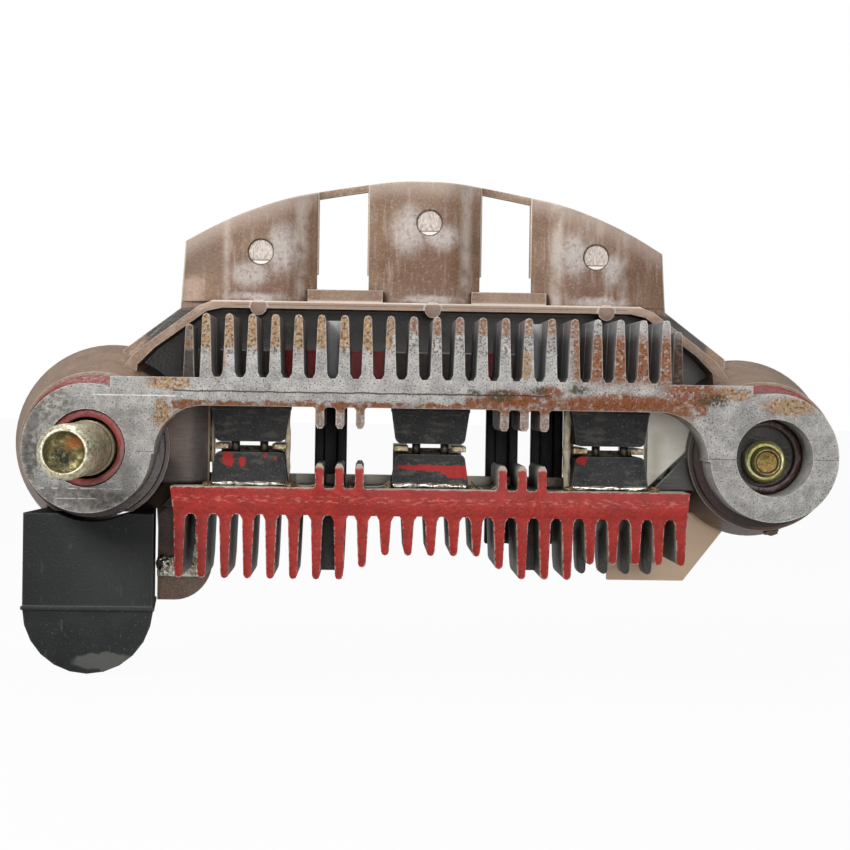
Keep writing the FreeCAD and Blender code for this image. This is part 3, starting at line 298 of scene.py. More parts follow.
    # painted highlights on the outer rims and painted shade in the corners
    colour = tint(tree, colour, edges(tree, 0.3, 0.5, 0.8), "#f1eee6", 0.6)
    colour = tint(tree, colour, corners(tree, 1.0, 0.35, 0.8), "#221d18", 0.75)
    return finished(made, colour, unevenness(tree, where, 0.4, 5.0, 0.7), 0.4)


def redPaint():
    # brushed red enamel on the cast front faces only, chipped at the tips; flanks bare and grey-brown
    made, tree, where = newMaterial("redEnamelOnCasting", roughness=0.46, specular=0.35)
    drift = wander(tree, where, 0.9, 0.7)
    cloud = patches(tree, where, 2.4, 0.3, 0.7)
    paint = tint(tree, "#9c1d12", cloud, "#80140c")
    paint = tint(tree, paint, patches(tree, where, 0.4, 0.58, 0.68), "#bb4a3a", 0.4)
    paint = tint(tree, paint, patches(tree, where, 0.35, 0.6, 0.68), "#551410", 0.6)
    scuff = broken(tree, where, zone(tree, drift, 0.5, z=(-8.0, -6.9)), 0.6, 0.5, 0.62, stretch=(0.5, 1, 1.6))
    paint = tint(tree, paint, scuff, "#c98274", 0.4)
    bare = tint(tree, "#68635d", cloud, "#8d877f")
    bare = tint(tree, bare, patches(tree, where, 0.5, 0.5, 0.66), "#5b4230", 0.6)
    # painted shade on the bare metal, deepening towards the back
    deep = zone(tree, where, 9.0, y=(9.0, None))
    bare = tint(tree, bare, deep, "#2a2a2c", 0.65)
    # the enamel covers only what looks to the front and stands near it
    normal = addNode(tree, "NewGeometry", out="Normal")
    front = ramp(tree, axisOf(tree, normal, "y"), -0.5, -0.75, "LINEAR")
    near = zone(tree, drift, 0.5, y=(None, 3.2))
    front = both(tree, front, near)
    chips = broken(tree, where, edges(tree, 0.35, 0.5, 0.75), 0.7, 0.46, 0.56)
    front = both(tree, front, both(tree, 1.0, chips, "SUBTRACT"))
    colour = tint(tree, bare, front, paint)
    colour = tint(tree, colour, both(tree, chips, near), "#d8d0c6", 0.75)
    # cream varnish on the beam's upper side
    upward = ramp(tree, axisOf(tree, normal, "z"), 0.7, 0.9, "LINEAR")
    upward = both(tree, upward, zone(tree, where, 0.2, z=(-6.2, -5.2)))
    upward = both(tree, upward, zone(tree, drift, 3.0, y=(None, 10)))
    glazed = tint(tree, "#5b4a38", patches(tree, where, 0.9, 0.34, 0.5), "#e6decd")
    colour = tint(tree, colour, upward, glazed, 0.9)
    smallTips = zone(tree, drift, 0.4, z=(-2.6, None), y=(None, 4))
    colour = tint(tree, colour, smallTips, "#a39a90", 0.8)
    # painted shade in the corners
    colour = tint(tree, colour, corners(tree, 1.3, 0.35, 0.8), "#1d1513", 0.75)
    return finished(made, colour, unevenness(tree, where, 0.6), 0.12)


def brownThermoset():
    # moulded phenolic board: semi-gloss brown, with painted highlights on its rims and painted shade, near
    # black, in the pocket behind the fins
    made, tree, where = newMaterial("mouldedPhenolic", roughness=0.42)
    drift = wander(tree, where, 2.0, 1.5)
    cloud = patches(tree, where, 5.0, 0.32, 0.68)
    colour = tint(tree, "#8a705b", cloud, "#785e4b")
    dust = patches(tree, where, 0.4, 0.5, 0.72, 3.0)
    colour = tint(tree, colour, dust, "#b7a390", 0.35)
    streak = patches(tree, where, 1.6, 0.48, 0.7, 3.0, stretch=(1, 1, 0.25))
    colour = tint(tree, colour, streak, "#a68e7b", 0.35)
    shelf = zone(tree, where, 0.4, x=(8, 95), y=(19, 21.6), z=(22.0, 23.9))
    colour = tint(tree, colour, shelf, "#a58c7b", 0.6)
    # painted shade: a dark line along the shelf's front, the shade of a groove
    groove = zone(tree, where, 0.1, x=(21, 84), y=(19, 20.6), z=(22.86, 22.98))
    colour = tint(tree, colour, groove, "#4b382d", 0.7)
    # painted light and reflection, pale, on the right bell's flank
    flankPaintedLight = zone(tree, drift, 1.6, x=(86, 96), y=(13, None), z=(0.5, 7.5))
    colour = tint(tree, colour, flankPaintedLight, "#d9cfbd", 0.85)
    # painted light: the skirt at the lower right pale cream, brightened where it lies in shade
    skirt = zone(tree, where, 0.3, x=(80, 104), y=(23, None), z=(None, -9.7))
    colour = tint(tree, colour, skirt, "#dec2a6", 0.95)
    # a round pad with a pale rim on each rib's front
    front = zone(tree, where, 0.1, y=(None, 20.45))
    for reach, other, strength in ((1.55, "#cdbdb0", 0.8), (1.3, "#7d6152", 0.9)):
        pads = stains(tree, where, [(x, 22.55, reach, reach) for x in (24.65, 52.65, 80.65)], 0.06)
        colour = tint(tree, colour, both(tree, pads, front), other, strength)
    # painted highlight along the shelf's upper edge
    line = zone(tree, where, 0.08, x=(16, 90), y=(19, 21), z=(23.3, 23.7))
    colour = tint(tree, colour, line, "#dccdc0", 0.7)
    # painted shade: the pocket behind the fins near black and the ledge in it dark brown
    pocket = both(tree, zone(tree, where, 1.0, x=(6, 98), y=(20.9, 28.6), z=(8, 22.3)),
                  zone(tree, where, 0.4, y=(21.9, None)))
    ledge = zone(tree, where, 0.2, x=(18, 88), y=(20.5, 22), z=(8, 15.75))
    colour = tint(tree, colour, pocket, "#3b3836", 0.95)
    colour = tint(tree, colour, ledge, "#5a4c44", 0.85)
    # painted highlight along the ledge's top edge
    ledgeHighlight = broken(tree, where, zone(tree, where, 0.12, x=(18, 88), y=(20, 22), z=(15.5, 15.8)), 3.0, 0.35, 0.45)
    colour = tint(tree, colour, ledgeHighlight, "#f3f0ea", 0.95)
    # painted shade right of the last diode, under a slanting line, and behind the ears
    shade = zone(tree, where, 0.6, x=(86, 103), y=(10.4, None), z=(-9.6, 7))
    shade = both(tree, underSlant(tree, where, 67.8, 68.4), shade)
    colour = tint(tree, colour, shade, "#221c19", 0.92)
    necks = zones(tree, where, 1.4, [{"x": span, "y": (8, 15.5), "z": (-16, 8)}
                                     for span in ((90, 103), (4, 13))])
    colour = tint(tree, colour, necks, "#2a211c", 0.85)
    # painted shade low on the bells, under the ears
    low = zone(tree, drift, 3.0, y=(9, 34), z=(-17, -6.5))
    low = both(tree, low, zone(tree, where, 0.5, x=(19, 84)), "SUBTRACT")
    low = both(tree, low, both(tree, 1.0, skirt, "SUBTRACT"))
    colour = tint(tree, colour, addNode(tree, "Clamp", {"Value": low}), "#4a332a", 0.65)
    # painted shade on the rear wall low at the left
    rear = zone(tree, where, 0.8, x=(9, 30), y=(21.5, None), z=(-9.9, -3.8))
    colour = tint(tree, colour, rear, "#24201d", 0.85)
    # painted light: pale glossy patches in the openings between the lower diodes
    glossy = zones(tree, where, 0.4, [{"x": span, "y": (21.5, 27), "z": (-5.9, -4.0)}
                                      for span in ((31, 35), (39, 46.5), (58, 63.4))])
    colour = tint(tree, colour, glossy, "#d9d1bd", 0.9)
    # painted shade inside the ears' bores
    bores = both(tree, stains(tree, where, [(104.5, 0, 6.2, 6.2), (0, 0, 6.2, 6.2)], 0.05),
                 zone(tree, where, 0.5, y=(None, 16)))
    colour = tint(tree, colour, bores, "#1e1612", 0.92)
    # painted highlights on the rims and painted shade in the corners
    colour = tint(tree, colour, edges(tree, 0.3, 0.5, 0.8), "#e3d8c8", 0.55)
    colour = tint(tree, colour, corners(tree, 1.6, 0.3, 0.75), "#2a1d16", 0.75)
    return finished(made, colour, unevenness(tree, where, 0.5), 0.1)


def baffleThermoset():
    # the board's scalloped wall: rusty brown with white patches of painted highlight round the ejector marks
    made, tree, where = newMaterial("phenolicWithPaintedHighlights", roughness=0.48)
    drift = wander(tree, where, 2.6, 2.0)
    cloud = patches(tree, where, 4.5, 0.32, 0.68)
    colour = tint(tree, "#82664f", cloud, "#6f5340")
    rusty = stains(tree, drift, [(27, 28.5, 5.5, 3.6), (51.5, 29.5, 6.0, 5.0), (79, 27.5, 5.5, 3.2)], 0.5)
    colour = tint(tree, colour, rusty, "#674127", 0.85)
    dust = patches(tree, where, 0.35, 0.5, 0.7, 3.0)
    colour = tint(tree, colour, dust, "#b9a798", 0.3)
    streak = patches(tree, where, 1.2, 0.5, 0.72, 3.0, stretch=(1, 1, 0.18))
    colour = tint(tree, colour, streak, "#b3a396", 0.45)
    # painted light on the left end's lower part, turned to the left, and darker above it
    pale = zone(tree, drift, 2.0, x=(12.2, 15.5), z=(23, 27.5))
    colour = tint(tree, colour, pale, "#c3a999", 0.5)
    dusk = zone(tree, drift, 2.0, x=(11, 18), z=(27.5, None))
    colour = tint(tree, colour, dusk, "#6f5a49", 0.6)
    # painted highlights: a lengthwise sheen where a bay turns in
    for start, end in ((19.0, 19.7), (30.4, 32.3), (40.6, 42.0), (57.0, 58.6), (71.6, 73.4), (83.4, 84.0)):
        sheen = broken(tree, where, zone(tree, where, 1.3, x=(start, end)), 4.0, 0.28, 0.6)
        colour = tint(tree, colour, sheen, "#d3cac1", 0.5)
    # painted highlights: white patches round the ejector marks and low on each bay
    highlightPatches = stains(tree, drift, [(28.3, 31.8, 2.2, 3.6), (23.4, 27.8, 2.6, 1.9), (48.6, 35.2, 2.4, 3.4),
                                 (53.8, 34.2, 2.6, 1.8), (75.4, 31.6, 2.2, 3.2), (81.6, 29.6, 1.6, 2.2),
                                 (24.6, 24.2, 4.0, 0.7), (52.0, 24.2, 4.0, 0.7), (79.6, 24.2, 4.0, 0.7)], 0.6)
    colour = tint(tree, colour, broken(tree, where, highlightPatches, 0.7, 0.1, 0.6, 5.0), "#efedeb", 0.4)
    # the arched edge fades to a painted highlight along the rim
    archX, archZ, archR = 50.54, -33.55, 76.7
    arch = addNode(tree, "Mapping", {"Vector": where, "Location": (-archX / archR, 0, -archZ / archR),
                                     "Scale": (1 / archR, 0, 1 / archR)})
    away = addNode(tree, "VectorMath", {0: arch}, out="Value", operation="LENGTH")
    colour = tint(tree, colour, ramp(tree, away, 0.955, 1.0), "#c3b3a8", 0.5)
    # painted shade in the corners
    colour = tint(tree, colour, corners(tree, 1.2, 0.3, 0.75), "#33241a", 0.7)
    # ejector marks: paler ground discs with a dark ring of painted shade on the dip's slope, a slot and a
    # painted highlight in a crescent low on them
    grain = patches(tree, where, 0.3, 0.35, 0.65, 3.0, stretch=(1.6, 1, 0.5))
    rough = wander(tree, where, 0.8, 0.35)
    for x, z in ejectorMarks:
        disc = stains(tree, rough, [(x, z, 2.14, 2.14)], 0.04)
        colour = tint(tree, colour, disc, "#33251c", 0.85)
        inner = stains(tree, where, [(x, z, 1.92, 1.92)], 0.05)
        face = tint(tree, "#a6968a", grain, "#d8cec6")
        face = tint(tree, face, zone(tree, where, 0.12, z=(z - 1.42, z - 1.22)), "#4a372b", 0.75)
        face = tint(tree, face, zone(tree, where, 0.1, z=(None, z - 1.42)), "#f1ece6", 0.8)
        colour = tint(tree, colour, inner, face)
    return finished(made, colour, unevenness(tree, where, 0.6), 0.08)


def flankThermoset():
    # the board's flanks beside the outer diodes: streaked brown at the left, painted dark as shade; pale cream
    # at the right, painted as light
    made, tree, where = newMaterial("streakedPhenolic", roughness=0.45)
    drift = wander(tree, where, 1.6, 1.0)
    streak = patches(tree, where, 0.9, 0.3, 0.7, 4.0, stretch=(0.2, 1, 2.0))
    colour = tint(tree, "#5d5048", streak, "#6d5e55")
    # painted light, paler, high on the left flank
    pale = zone(tree, drift, 4.0, x=(8, 12.5), z=(-1.5, 7))
    colour = tint(tree, colour, pale, "#88766b", 0.7)
    # painted shade at the left flank's right edge and low down
    dark = zone(tree, drift, 1.6, x=(15.2, 17.2))
    low = stains(tree, drift, [(9.5, -4.5, 4.2, 3.4)], 0.3)
    colour = tint(tree, colour, both(tree, dark, low, "MAXIMUM"), "#35302d", 0.8)
    # painted highlight: a thin cream line along the left flank's right edge
    colour = tint(tree, colour, zone(tree, where, 0.1, x=(17.5, 18)), "#cdbb98", 0.8)
    # painted light: the right flank pale cream, with painted shade near its left end
    cream = tint(tree, "#fbf5e6", streak, "#fffcf4")
    shaded = zone(tree, drift, 2.6, x=(87, 89.0), z=(-6, 3))
    cream = tint(tree, cream, shaded, "#b8ad9a", 0.6)
    colour = tint(tree, colour, zone(tree, where, 0.5, x=(50, None)), cream)
    # painted shade under the slanting line
    shade = both(tree, underSlant(tree, where, 67.9, 68.2), zone(tree, where, 0.5, x=(50, None)))
    colour = tint(tree, colour, shade, "#2a2624", 0.95)
    return finished(made, colour, streak, 0.05)


def redFibre():
    # vulcanised fibre: dark red and greasy, near black with painted shade low down
    made, tree, where = newMaterial("vulcanisedFibre", roughness=0.3)
    cloud = patches(tree, where, 1.5, 0.35, 0.7, stretch=(1, 1, 0.4))
    colour = tint(tree, "#6e2622", cloud, "#8a3a33")
    colour = tint(tree, colour, patches(tree, where, 0.4, 0.56, 0.66), "#3b1310", 0.6)
    # the plates behind the fins painted a brighter red, to offset the shade they stand in
    plates = zone(tree, where, 0.2, y=(20, 22))
    colour = tint(tree, colour, plates, "#c42e32", 0.95)
    # painted shade, near black, low on the washers behind the ears
    shadeLowDown = zone(tree, where, 0.6, y=(8.7, 12.4), z=(None, 6.5))
    colour = tint(tree, colour, shadeLowDown, "#1f1613", 0.93)
    # painted shade on the insulator inside the right ear's bore
    right = zone(tree, where, 0.4, x=(98, 111), y=(7, 10.6), z=(-6, 6))
    colour = tint(tree, colour, right, "#231714", 0.85)
    # painted shade in the corners
    colour = tint(tree, colour, corners(tree, 0.8, 0.3, 0.75), "#180d0b", 0.85)
    return finished(made, colour, unevenness(tree, where, 0.4), 0.1)


def diodeEpoxy():
    # black potting epoxy, satin and dusty, spattered with the sink's red enamel
    made, tree, where = newMaterial("pottingEpoxy", roughness=0.6, specular=0.3)
    drift = wander(tree, where, 0.6, 1.1)
    cloud = patches(tree, where, 1.8, 0.3, 0.7)
    colour = tint(tree, "#1a1b1c", cloud, "#292a2b")
    dust = patches(tree, where, 0.35, 0.6, 0.7)
    colour = tint(tree, colour, dust, "#85817b", 0.5)
    smear = patches(tree, where, 1.4, 0.52, 0.66, 3.0, stretch=(0.5, 1, 1.4))
    colour = tint(tree, colour, smear, "#4e4b45", 0.6)
    # painted highlights on the rims
    colour = tint(tree, colour, edges(tree, 0.35, 0.5, 0.8), "#8a8984", 0.4)
    splash = stains(tree, drift, [(20.9, -1.6, 0.9, 1.15), (23.2, -2.0, 0.5, 0.8), (26.7, -0.9, 0.3, 0.3),
                                  (28.2, -1.2, 0.25, 0.25), (52.3, -2.5, 5.2, 0.45), (56.6, -3.0, 2.6, 1.0),
                                  (75.8, -0.9, 0.85, 0.8)], 0.12)
    splash = both(tree, splash, zone(tree, where, 0.3, y=(None, 8.6)))
    colour = tint(tree, colour, splash, "#9a1a18", 0.92)
    # painted shade in the corners
    colour = tint(tree, colour, corners(tree, 0.9, 0.3, 0.75), "#0c0b0a", 0.8)
    return finished(made, colour, unevenness(tree, where, 0.9, 5.0), 0.25)


def blackMoulding():
    # black glass-filled nylon, satin with a faint grain, dust and a grey scuff at its lower end
    made, tree, where = newMaterial("glassFilledNylon", roughness=0.58, specular=0.3)
    drift = wander(tree, where, 1.5, 1.2)
    cloud = patches(tree, where, 3.0, 0.35, 0.7)
    colour = tint(tree, "#16191a", cloud, "#1f2223")
    specks = patches(tree, where, 0.3, 0.66, 0.72, 2.0)
    colour = tint(tree, colour, specks, "#77766f", 0.35)
    hair = patches(tree, where, 1.0, 0.62, 0.7, 2.0, stretch=(1, 1, 0.3))
    colour = tint(tree, colour, hair, "#4a4c4b", 0.5)
    scuff = stains(tree, drift, [(2.2, -33.2, 4.8, 1.3)], 0.15)
    colour = tint(tree, colour, scuff, "#777672", 0.4)
    body = zone(tree, where, 0.6, z=(-25, None))
    colour = tint(tree, colour, body, "#08090a", 0.6)
    # painted highlights on the rims and painted shade in the corners
    colour = tint(tree, colour, edges(tree, 0.4, 0.5, 0.8), "#74736e", 0.4)
    colour = tint(tree, colour, corners(tree, 0.9, 0.3, 0.8), "#0a0b0b", 0.8)
    return finished(made, colour, unevenness(tree, where, 0.35, 3.0), 0.06)


def tinnedMetal(name, fresh, dull, metallic=0.75):
    # tin over copper: bright in places and dulled elsewhere, with painted shade, black, in the corners
    made, tree, where = newMaterial(name, roughness=0.32, metallic=metallic)
    cloud = patches(tree, where, 0.9, 0.4, 0.6)
    colour = tint(tree, fresh, cloud, dull)
    colour = tint(tree, colour, patches(tree, where, 0.5, 0.6, 0.68), "#2f261c", 0.8)
    colour = tint(tree, colour, corners(tree, 0.8, 0.3, 0.75), "#15120e", 0.8)
    return finished(made, colour, unevenness(tree, where, 0.6), 0.2)


def zincSteel():
    # yellow-passivated steel: cream-olive with brown grease in the thread; the cup is green and rusty
    made, tree, where = newMaterial("yellowZincSteel", roughness=0.34, metallic=0.55)
    cloud = patches(tree, where, 0.9, 0.38, 0.62)
    colour = tint(tree, "#ddd8c0", cloud, "#aaa080")
    grime = patches(tree, where, 0.5, 0.55, 0.64, 5.0)
    colour = tint(tree, colour, grime, "#4b432c", 0.75)
    shaft = zone(tree, where, 9.0, y=(-15, None))
    colour = tint(tree, colour, both(tree, shaft, 0.7), "#77623e", 0.75)
    cup = both(tree, zone(tree, where, 0.3, y=(None, -22.2)), stains(tree, where, [(0, 0, 2.95, 2.95)], 0.05))
    mould = broken(tree, where, cup, 1.1, 0.36, 0.52, 5.0)
    colour = tint(tree, colour, cup, "#77743f", 0.85)
    colour = tint(tree, colour, mould, "#4f431d", 0.9)
    wandering = wander(tree, where, 0.7, 1.0)
    orange = both(tree, cup, stains(tree, wandering, [(1.4, 1.3, 1.3, 0.9)], 0.4))
    colour = tint(tree, colour, orange, "#8f5426", 0.75)
    black = both(tree, cup, stains(tree, wandering, [(-0.5, -0.8, 1.7, 1.4)], 0.5))
    black = broken(tree, where, black, 0.4, 0.4, 0.52, 5.0)
    colour = tint(tree, colour, black, "#0f1a15", 0.95)
    nut = zone(tree, where, 0.3, x=(99, 110), y=(5.5, 11))
    colour = tint(tree, colour, nut, "#9c9a4e", 0.75)
    bolt = stains(tree, where, [(104.5, -0.8, 2.1, 2.1)], 0.08)
    bolt = both(tree, bolt, zone(tree, where, 0.1, y=(5.8, 7.2)))
    pitted = patches(tree, where, 0.45, 0.44, 0.54, 4.0)
    colour = tint(tree, colour, bolt, "#7c7436", 0.9)
    colour = tint(tree, colour, both(tree, bolt, pitted), "#7a2f18", 0.55)
    # painted highlight: a bright ring on the collar nut
    outer, inner = (stains(tree, where, [(104.3, -0.3, reach, reach)], 0.03) for reach in (3.0, 2.72))
    ring = both(tree, both(tree, outer, inner, "SUBTRACT"), zone(tree, where, 0.2, x=(99, 110), y=(6, 11)))
    colour = tint(tree, colour, addNode(tree, "Clamp", {"Value": ring}), "#f3f0cc", 0.8)
    # painted highlights on the rims and painted shade in the corners
    colour = tint(tree, colour, edges(tree, 0.3, 0.5, 0.8), "#f5f3e2", 0.7)
    colour = tint(tree, colour, corners(tree, 0.7, 0.3, 0.8), "#1f1a10", 0.8)
    return finished(made, colour, unevenness(tree, where, 0.4, 5.0), 0.12)


def solder():
    # tin-lead solder, bright and lumpy, with brown flux left round it
    made, tree, where = newMaterial("tinLeadSolder", roughness=0.22, metallic=0.85)
    flux = patches(tree, where, 0.6, 0.45, 0.58)
    colour = tint(tree, "#d9d6cf", flux, "#6d5330", 0.8)
    # painted shade in the corners
    colour = tint(tree, colour, corners(tree, 0.6, 0.3, 0.7), "#1c150e", 0.8)
    return finished(made, colour)


def varnish():
    # dipping varnish run into drops: glossy amber to dark brown
    made, tree, where = newMaterial("dippingVarnish", roughness=0.12, coat=0.6, coatRoughness=0.08)
    cloud = patches(tree, where, 0.8, 0.4, 0.6)
    colour = tint(tree, "#86643a", cloud, "#3c2714")
    colour = tint(tree, colour, patches(tree, where, 0.4, 0.62, 0.7), "#e9dcc2", 0.8)
    return finished(made, colour)


def creamSleeving():
    # varnished glass sleeving over the phase leads: cream with brown edges
    made, tree, where = newMaterial("varnishedSleeving", roughness=0.4)
    cloud = patches(tree, where, 0.9, 0.35, 0.65)
    colour = tint(tree, "#cdbd9c", cloud, "#e8dfca")
    colour = tint(tree, colour, edges(tree, 0.3, 0.5, 0.85), "#8b6a45", 0.5)
    return finished(made, colour, cloud, 0.05)


materials = {
    "cast_aluminium": castAluminium(),
    "red_painted_cast": redPaint(),
    "brown_moulding": brownThermoset(),
    "dark_red_fibre": redFibre(),
    "diode_epoxy": diodeEpoxy(),
    "black_moulding": blackMoulding(),
    "tinned_copper": tinnedMetal("tinnedCopper", "#d2cdc2", "#8d8272"),
    "copper_strap": tinnedMetal("dullBrass", "#8d7753", "#4e3d29"),
    "zinc_steel": zincSteel(),
}
phaseFinish = tinnedMetal("varnishedTin", "#b9ab8c", "#8c7552", 0.35)
# copper of the battery bus and lead wires, coloured near black
busFinish = tinnedMetal("nearBlackCopper", "#3a3026", "#1c1712", 0.3)
baffleFinish, solderFinish, varnishFinish = baffleThermoset(), solder(), varnish()
sleevingFinish, flankFinish = creamSleeving(), flankThermoset()
print("materials made:", len(bpy.data.materials))


# Softened copies of the CAD solids

soften = {"merge": 0.004, "flat": 1.0, "sharp": 32.0, "segments": 2}       # mm, degrees, degrees
slotOf = {row["node"]: row["material_slot"] for row in frame["record"]["subparts"]}
softening = {                       # node: width of its rounded edges
    "negative_heat_sink": 0.22,
    "positive_heat_sink": 0.22,
    "terminal_board": 0.3,
    "battery_bus": 0.15,
    "sense_strap": 0.2,
    "connector_housing": 0.45,
    "fibre_plate_left": 0.1,
    "fibre_plate_right": 0.1,
    "stud_insulator": 0.15,
    "clamp_insulator": 0.15,
    "upper_blade": 0.15,
    "lower_blade": 0.15,
    "clamp_bolt": 0.15,
    "collar_nut": 0.15,
}
for phase in ("left", "middle", "right"):
    for kind, width in (("negative_diode_", 0.25), ("positive_diode_", 0.25), ("lead_guide_", 0.25),
                        ("phase_terminal_", 0.12), ("lead_wires_", 0.0)):
        softening[kind + phase] = width


def softCopy(node, width):
    # the CAD mesh merged into whole faces, with rounded edges
    mesh = frame["nodes"][node].data.copy()
    mesh.name = "soft_" + node
    work = bmesh.new()
    work.from_mesh(mesh)
    bmesh.ops.remove_doubles(work, verts=work.verts, dist=soften["merge"] * mm)
    bmesh.ops.dissolve_limit(work, angle_limit=math.radians(soften["flat"]), verts=work.verts,
                             edges=work.edges, delimit={"NORMAL"})
    for face in work.faces:
        face.smooth = True
    work.to_mesh(mesh)
    work.free()
    finish = materials[slotOf[node]]
    if node.startswith("phase_terminal"):
        finish = phaseFinish
    elif node.startswith(("battery_bus", "lead_wires")):
        finish = busFinish
    mesh.materials.clear()
    mesh.materials.append(finish)
    piece = bpy.data.objects.new("soft_" + node, mesh)
    scene.collection.objects.link(piece)
    if width:
        edge = piece.modifiers.new("roundedEdges", "BEVEL")
        edge.width = width * mm
        edge.segments = soften["segments"]
        edge.limit_method = "ANGLE"
        edge.angle_limit = math.radians(soften["sharp"])
        edge.harden_normals = True
        edge.miter_outer = "MITER_ARC"
    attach(piece, "root")
    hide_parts(node)
    return piece


for node, width in softening.items():
    softCopy(node, width)
print("softened copies:", len(softening))


# Pieces the CAD leaves plain

def gridPiece(name, x, y, z, finish, node=None, closed=False, sheet=0.0):
    # a surface over a grid of places in millimetres; closed joins the last row of u to the first, and a sheet,
    # which looks to the front, gets that thickness
    countU, countV = x.shape
    u, v = np.meshgrid(np.arange(countU if closed else countU - 1), np.arange(countV - 1), indexing="ij")
    nextU = (u + 1) % countU
    quads = np.stack([u * countV + v, nextU * countV + v, nextU * countV + v + 1, u * countV + v + 1], -1)
    mesh = bpy.data.meshes.new(name)
    mesh.from_pydata((np.stack([x, y, z], -1).reshape(-1, 3) * mm).tolist(), [], quads.reshape(-1, 4).tolist())
    work = bmesh.new()
    work.from_mesh(mesh)
    bmesh.ops.remove_doubles(work, verts=work.verts, dist=0.0005 * mm)
    bmesh.ops.recalc_face_normals(work, faces=work.faces)
    if sheet and sum(face.normal.y for face in work.faces) > 0:
        bmesh.ops.reverse_faces(work, faces=work.faces)
    work.to_mesh(mesh)
    work.free()
    mesh.shade_smooth()
    mesh.materials.append(finish)
    piece = bpy.data.objects.new(name, mesh)
    scene.collection.objects.link(piece)
    if sheet:
        thickness = piece.modifiers.new("sheetThickness", "SOLIDIFY")
        thickness.thickness = sheet * mm
        thickness.offset = -1
    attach(piece, "root")
    if node:
        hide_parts(node)
    return piece


def ripple(a, b, seed):
    # an even, slow unevenness between -1 and 1: three sines of unlike lengths
    return (np.sin(1.7 * a + 2.3 * b + seed) + np.sin(3.1 * a - 1.9 * b + 2.1 * seed)
            + np.sin(-2.2 * a + 4.3 * b + 3.7 * seed)) / 3


stud = {"front": -24.0, "crest": 4.0, "root": 3.78, "pitch": 1.0, "threadFrom": 0.6, "threadEnd": -1.0,
        "fadeIn": 1.4, "fadeOut": 1.5, "leadIn": 0.9, "cup": 2.9, "cupDepth": 1.0, "rim": 3.45, "rimEdge": 0.12,
        "shank": 4.2, "shankEnd": 15.2, "flats": 13.0, "headEnd": 20.5, "turns": 144}


def threadedStud():
    # radius along the axis: cup, rim, a helical thread whose depth follows the saw of (y / pitch - turn),
    # the plain shank, then a head whose radius is that of a hexagon
    s = stud
    front, cup, floor = s["front"], s["cup"], s["front"] + s["cupDepth"]
    mouth = [(floor, 0), (floor, 1.5), (floor, cup), (front + s["rimEdge"], cup + 0.02),
             (front, cup + s["rimEdge"]), (front, 3.1), (front, 3.3), (front + 0.3, s["rim"])]
    rest = [(0.0, s["crest"]), (0.0, s["shank"]), (s["shankEnd"], s["shank"]), (s["shankEnd"], 0),
            (s["headEnd"], 0), (s["headEnd"], 0.05), (s["headEnd"], 0)]
    thread = np.arange(front + s["threadFrom"], s["threadEnd"], s["pitch"] / 10)
    y = np.concatenate([[place for place, _ in mouth], thread, [place for place, _ in rest]])
    plain = np.concatenate([[size for _, size in mouth], thread * 0, [size for _, size in rest]])
    turn = np.linspace(0, 2 * np.pi, s["turns"], endpoint=False)[:, None]
    wave = np.abs(((thread[None, :] / s["pitch"] - turn / (2 * np.pi)) % 1.0) * 2 - 1)
    fade = np.clip((s["threadEnd"] - thread) / s["fadeOut"], 0, 1)
    fade *= np.clip((thread - front) / s["fadeIn"], 0.25, 1)
    depth = s["root"] + (s["crest"] - s["root"]) * (1 - fade * np.clip(1.25 * wave, 0, 1))
    lead = s["rim"] + (s["crest"] - s["rim"]) * (thread - front) / s["leadIn"]
    radius = np.repeat(plain[None, :], len(turn), 0)
    radius[:, len(mouth):len(mouth) + len(thread)] = np.minimum(depth, lead)
    hexagon = (s["flats"] / 2) / np.cos((turn[:, 0] + np.pi / 6) % (np.pi / 3) - np.pi / 6)
    radius[:, -4] = radius[:, -3] = hexagon
    return gridPiece("threadedStud", radius * np.sin(turn), np.repeat(y[None, :], len(turn), 0),
                     radius * np.cos(turn), materials["zinc_steel"], "battery_stud", True)


threadedStud()

wall = {"middle": 51.25, "low": 23.4, "archX": 50.55, "archZ": -33.55, "archR": 76.69, "taper": 1.3,
        "top": 43.15, "ahead": 0.12, "inset": 0.3, "roll": 0.3, "rollRows": 5, "fold": 0.45, "foldStep": 0.05,
        "sheet": 0.08, "dip": 0.3, "markReach": 2.13, "markSlope": 0.22, "grid": (170, 150), "outer": 30.0,
        "depths": (23.4, 22.3, 21.2, 20.7, 21.2, 22.3, 23.4),
        # each bay's ends from the middle, then the width of its left and right flank
        "bays": ((-39.3, -17.1, 7.77, 4.0), (-9.25, 9.25, 4.0, 4.0), (17.1, 39.3, 4.0, 7.77))}


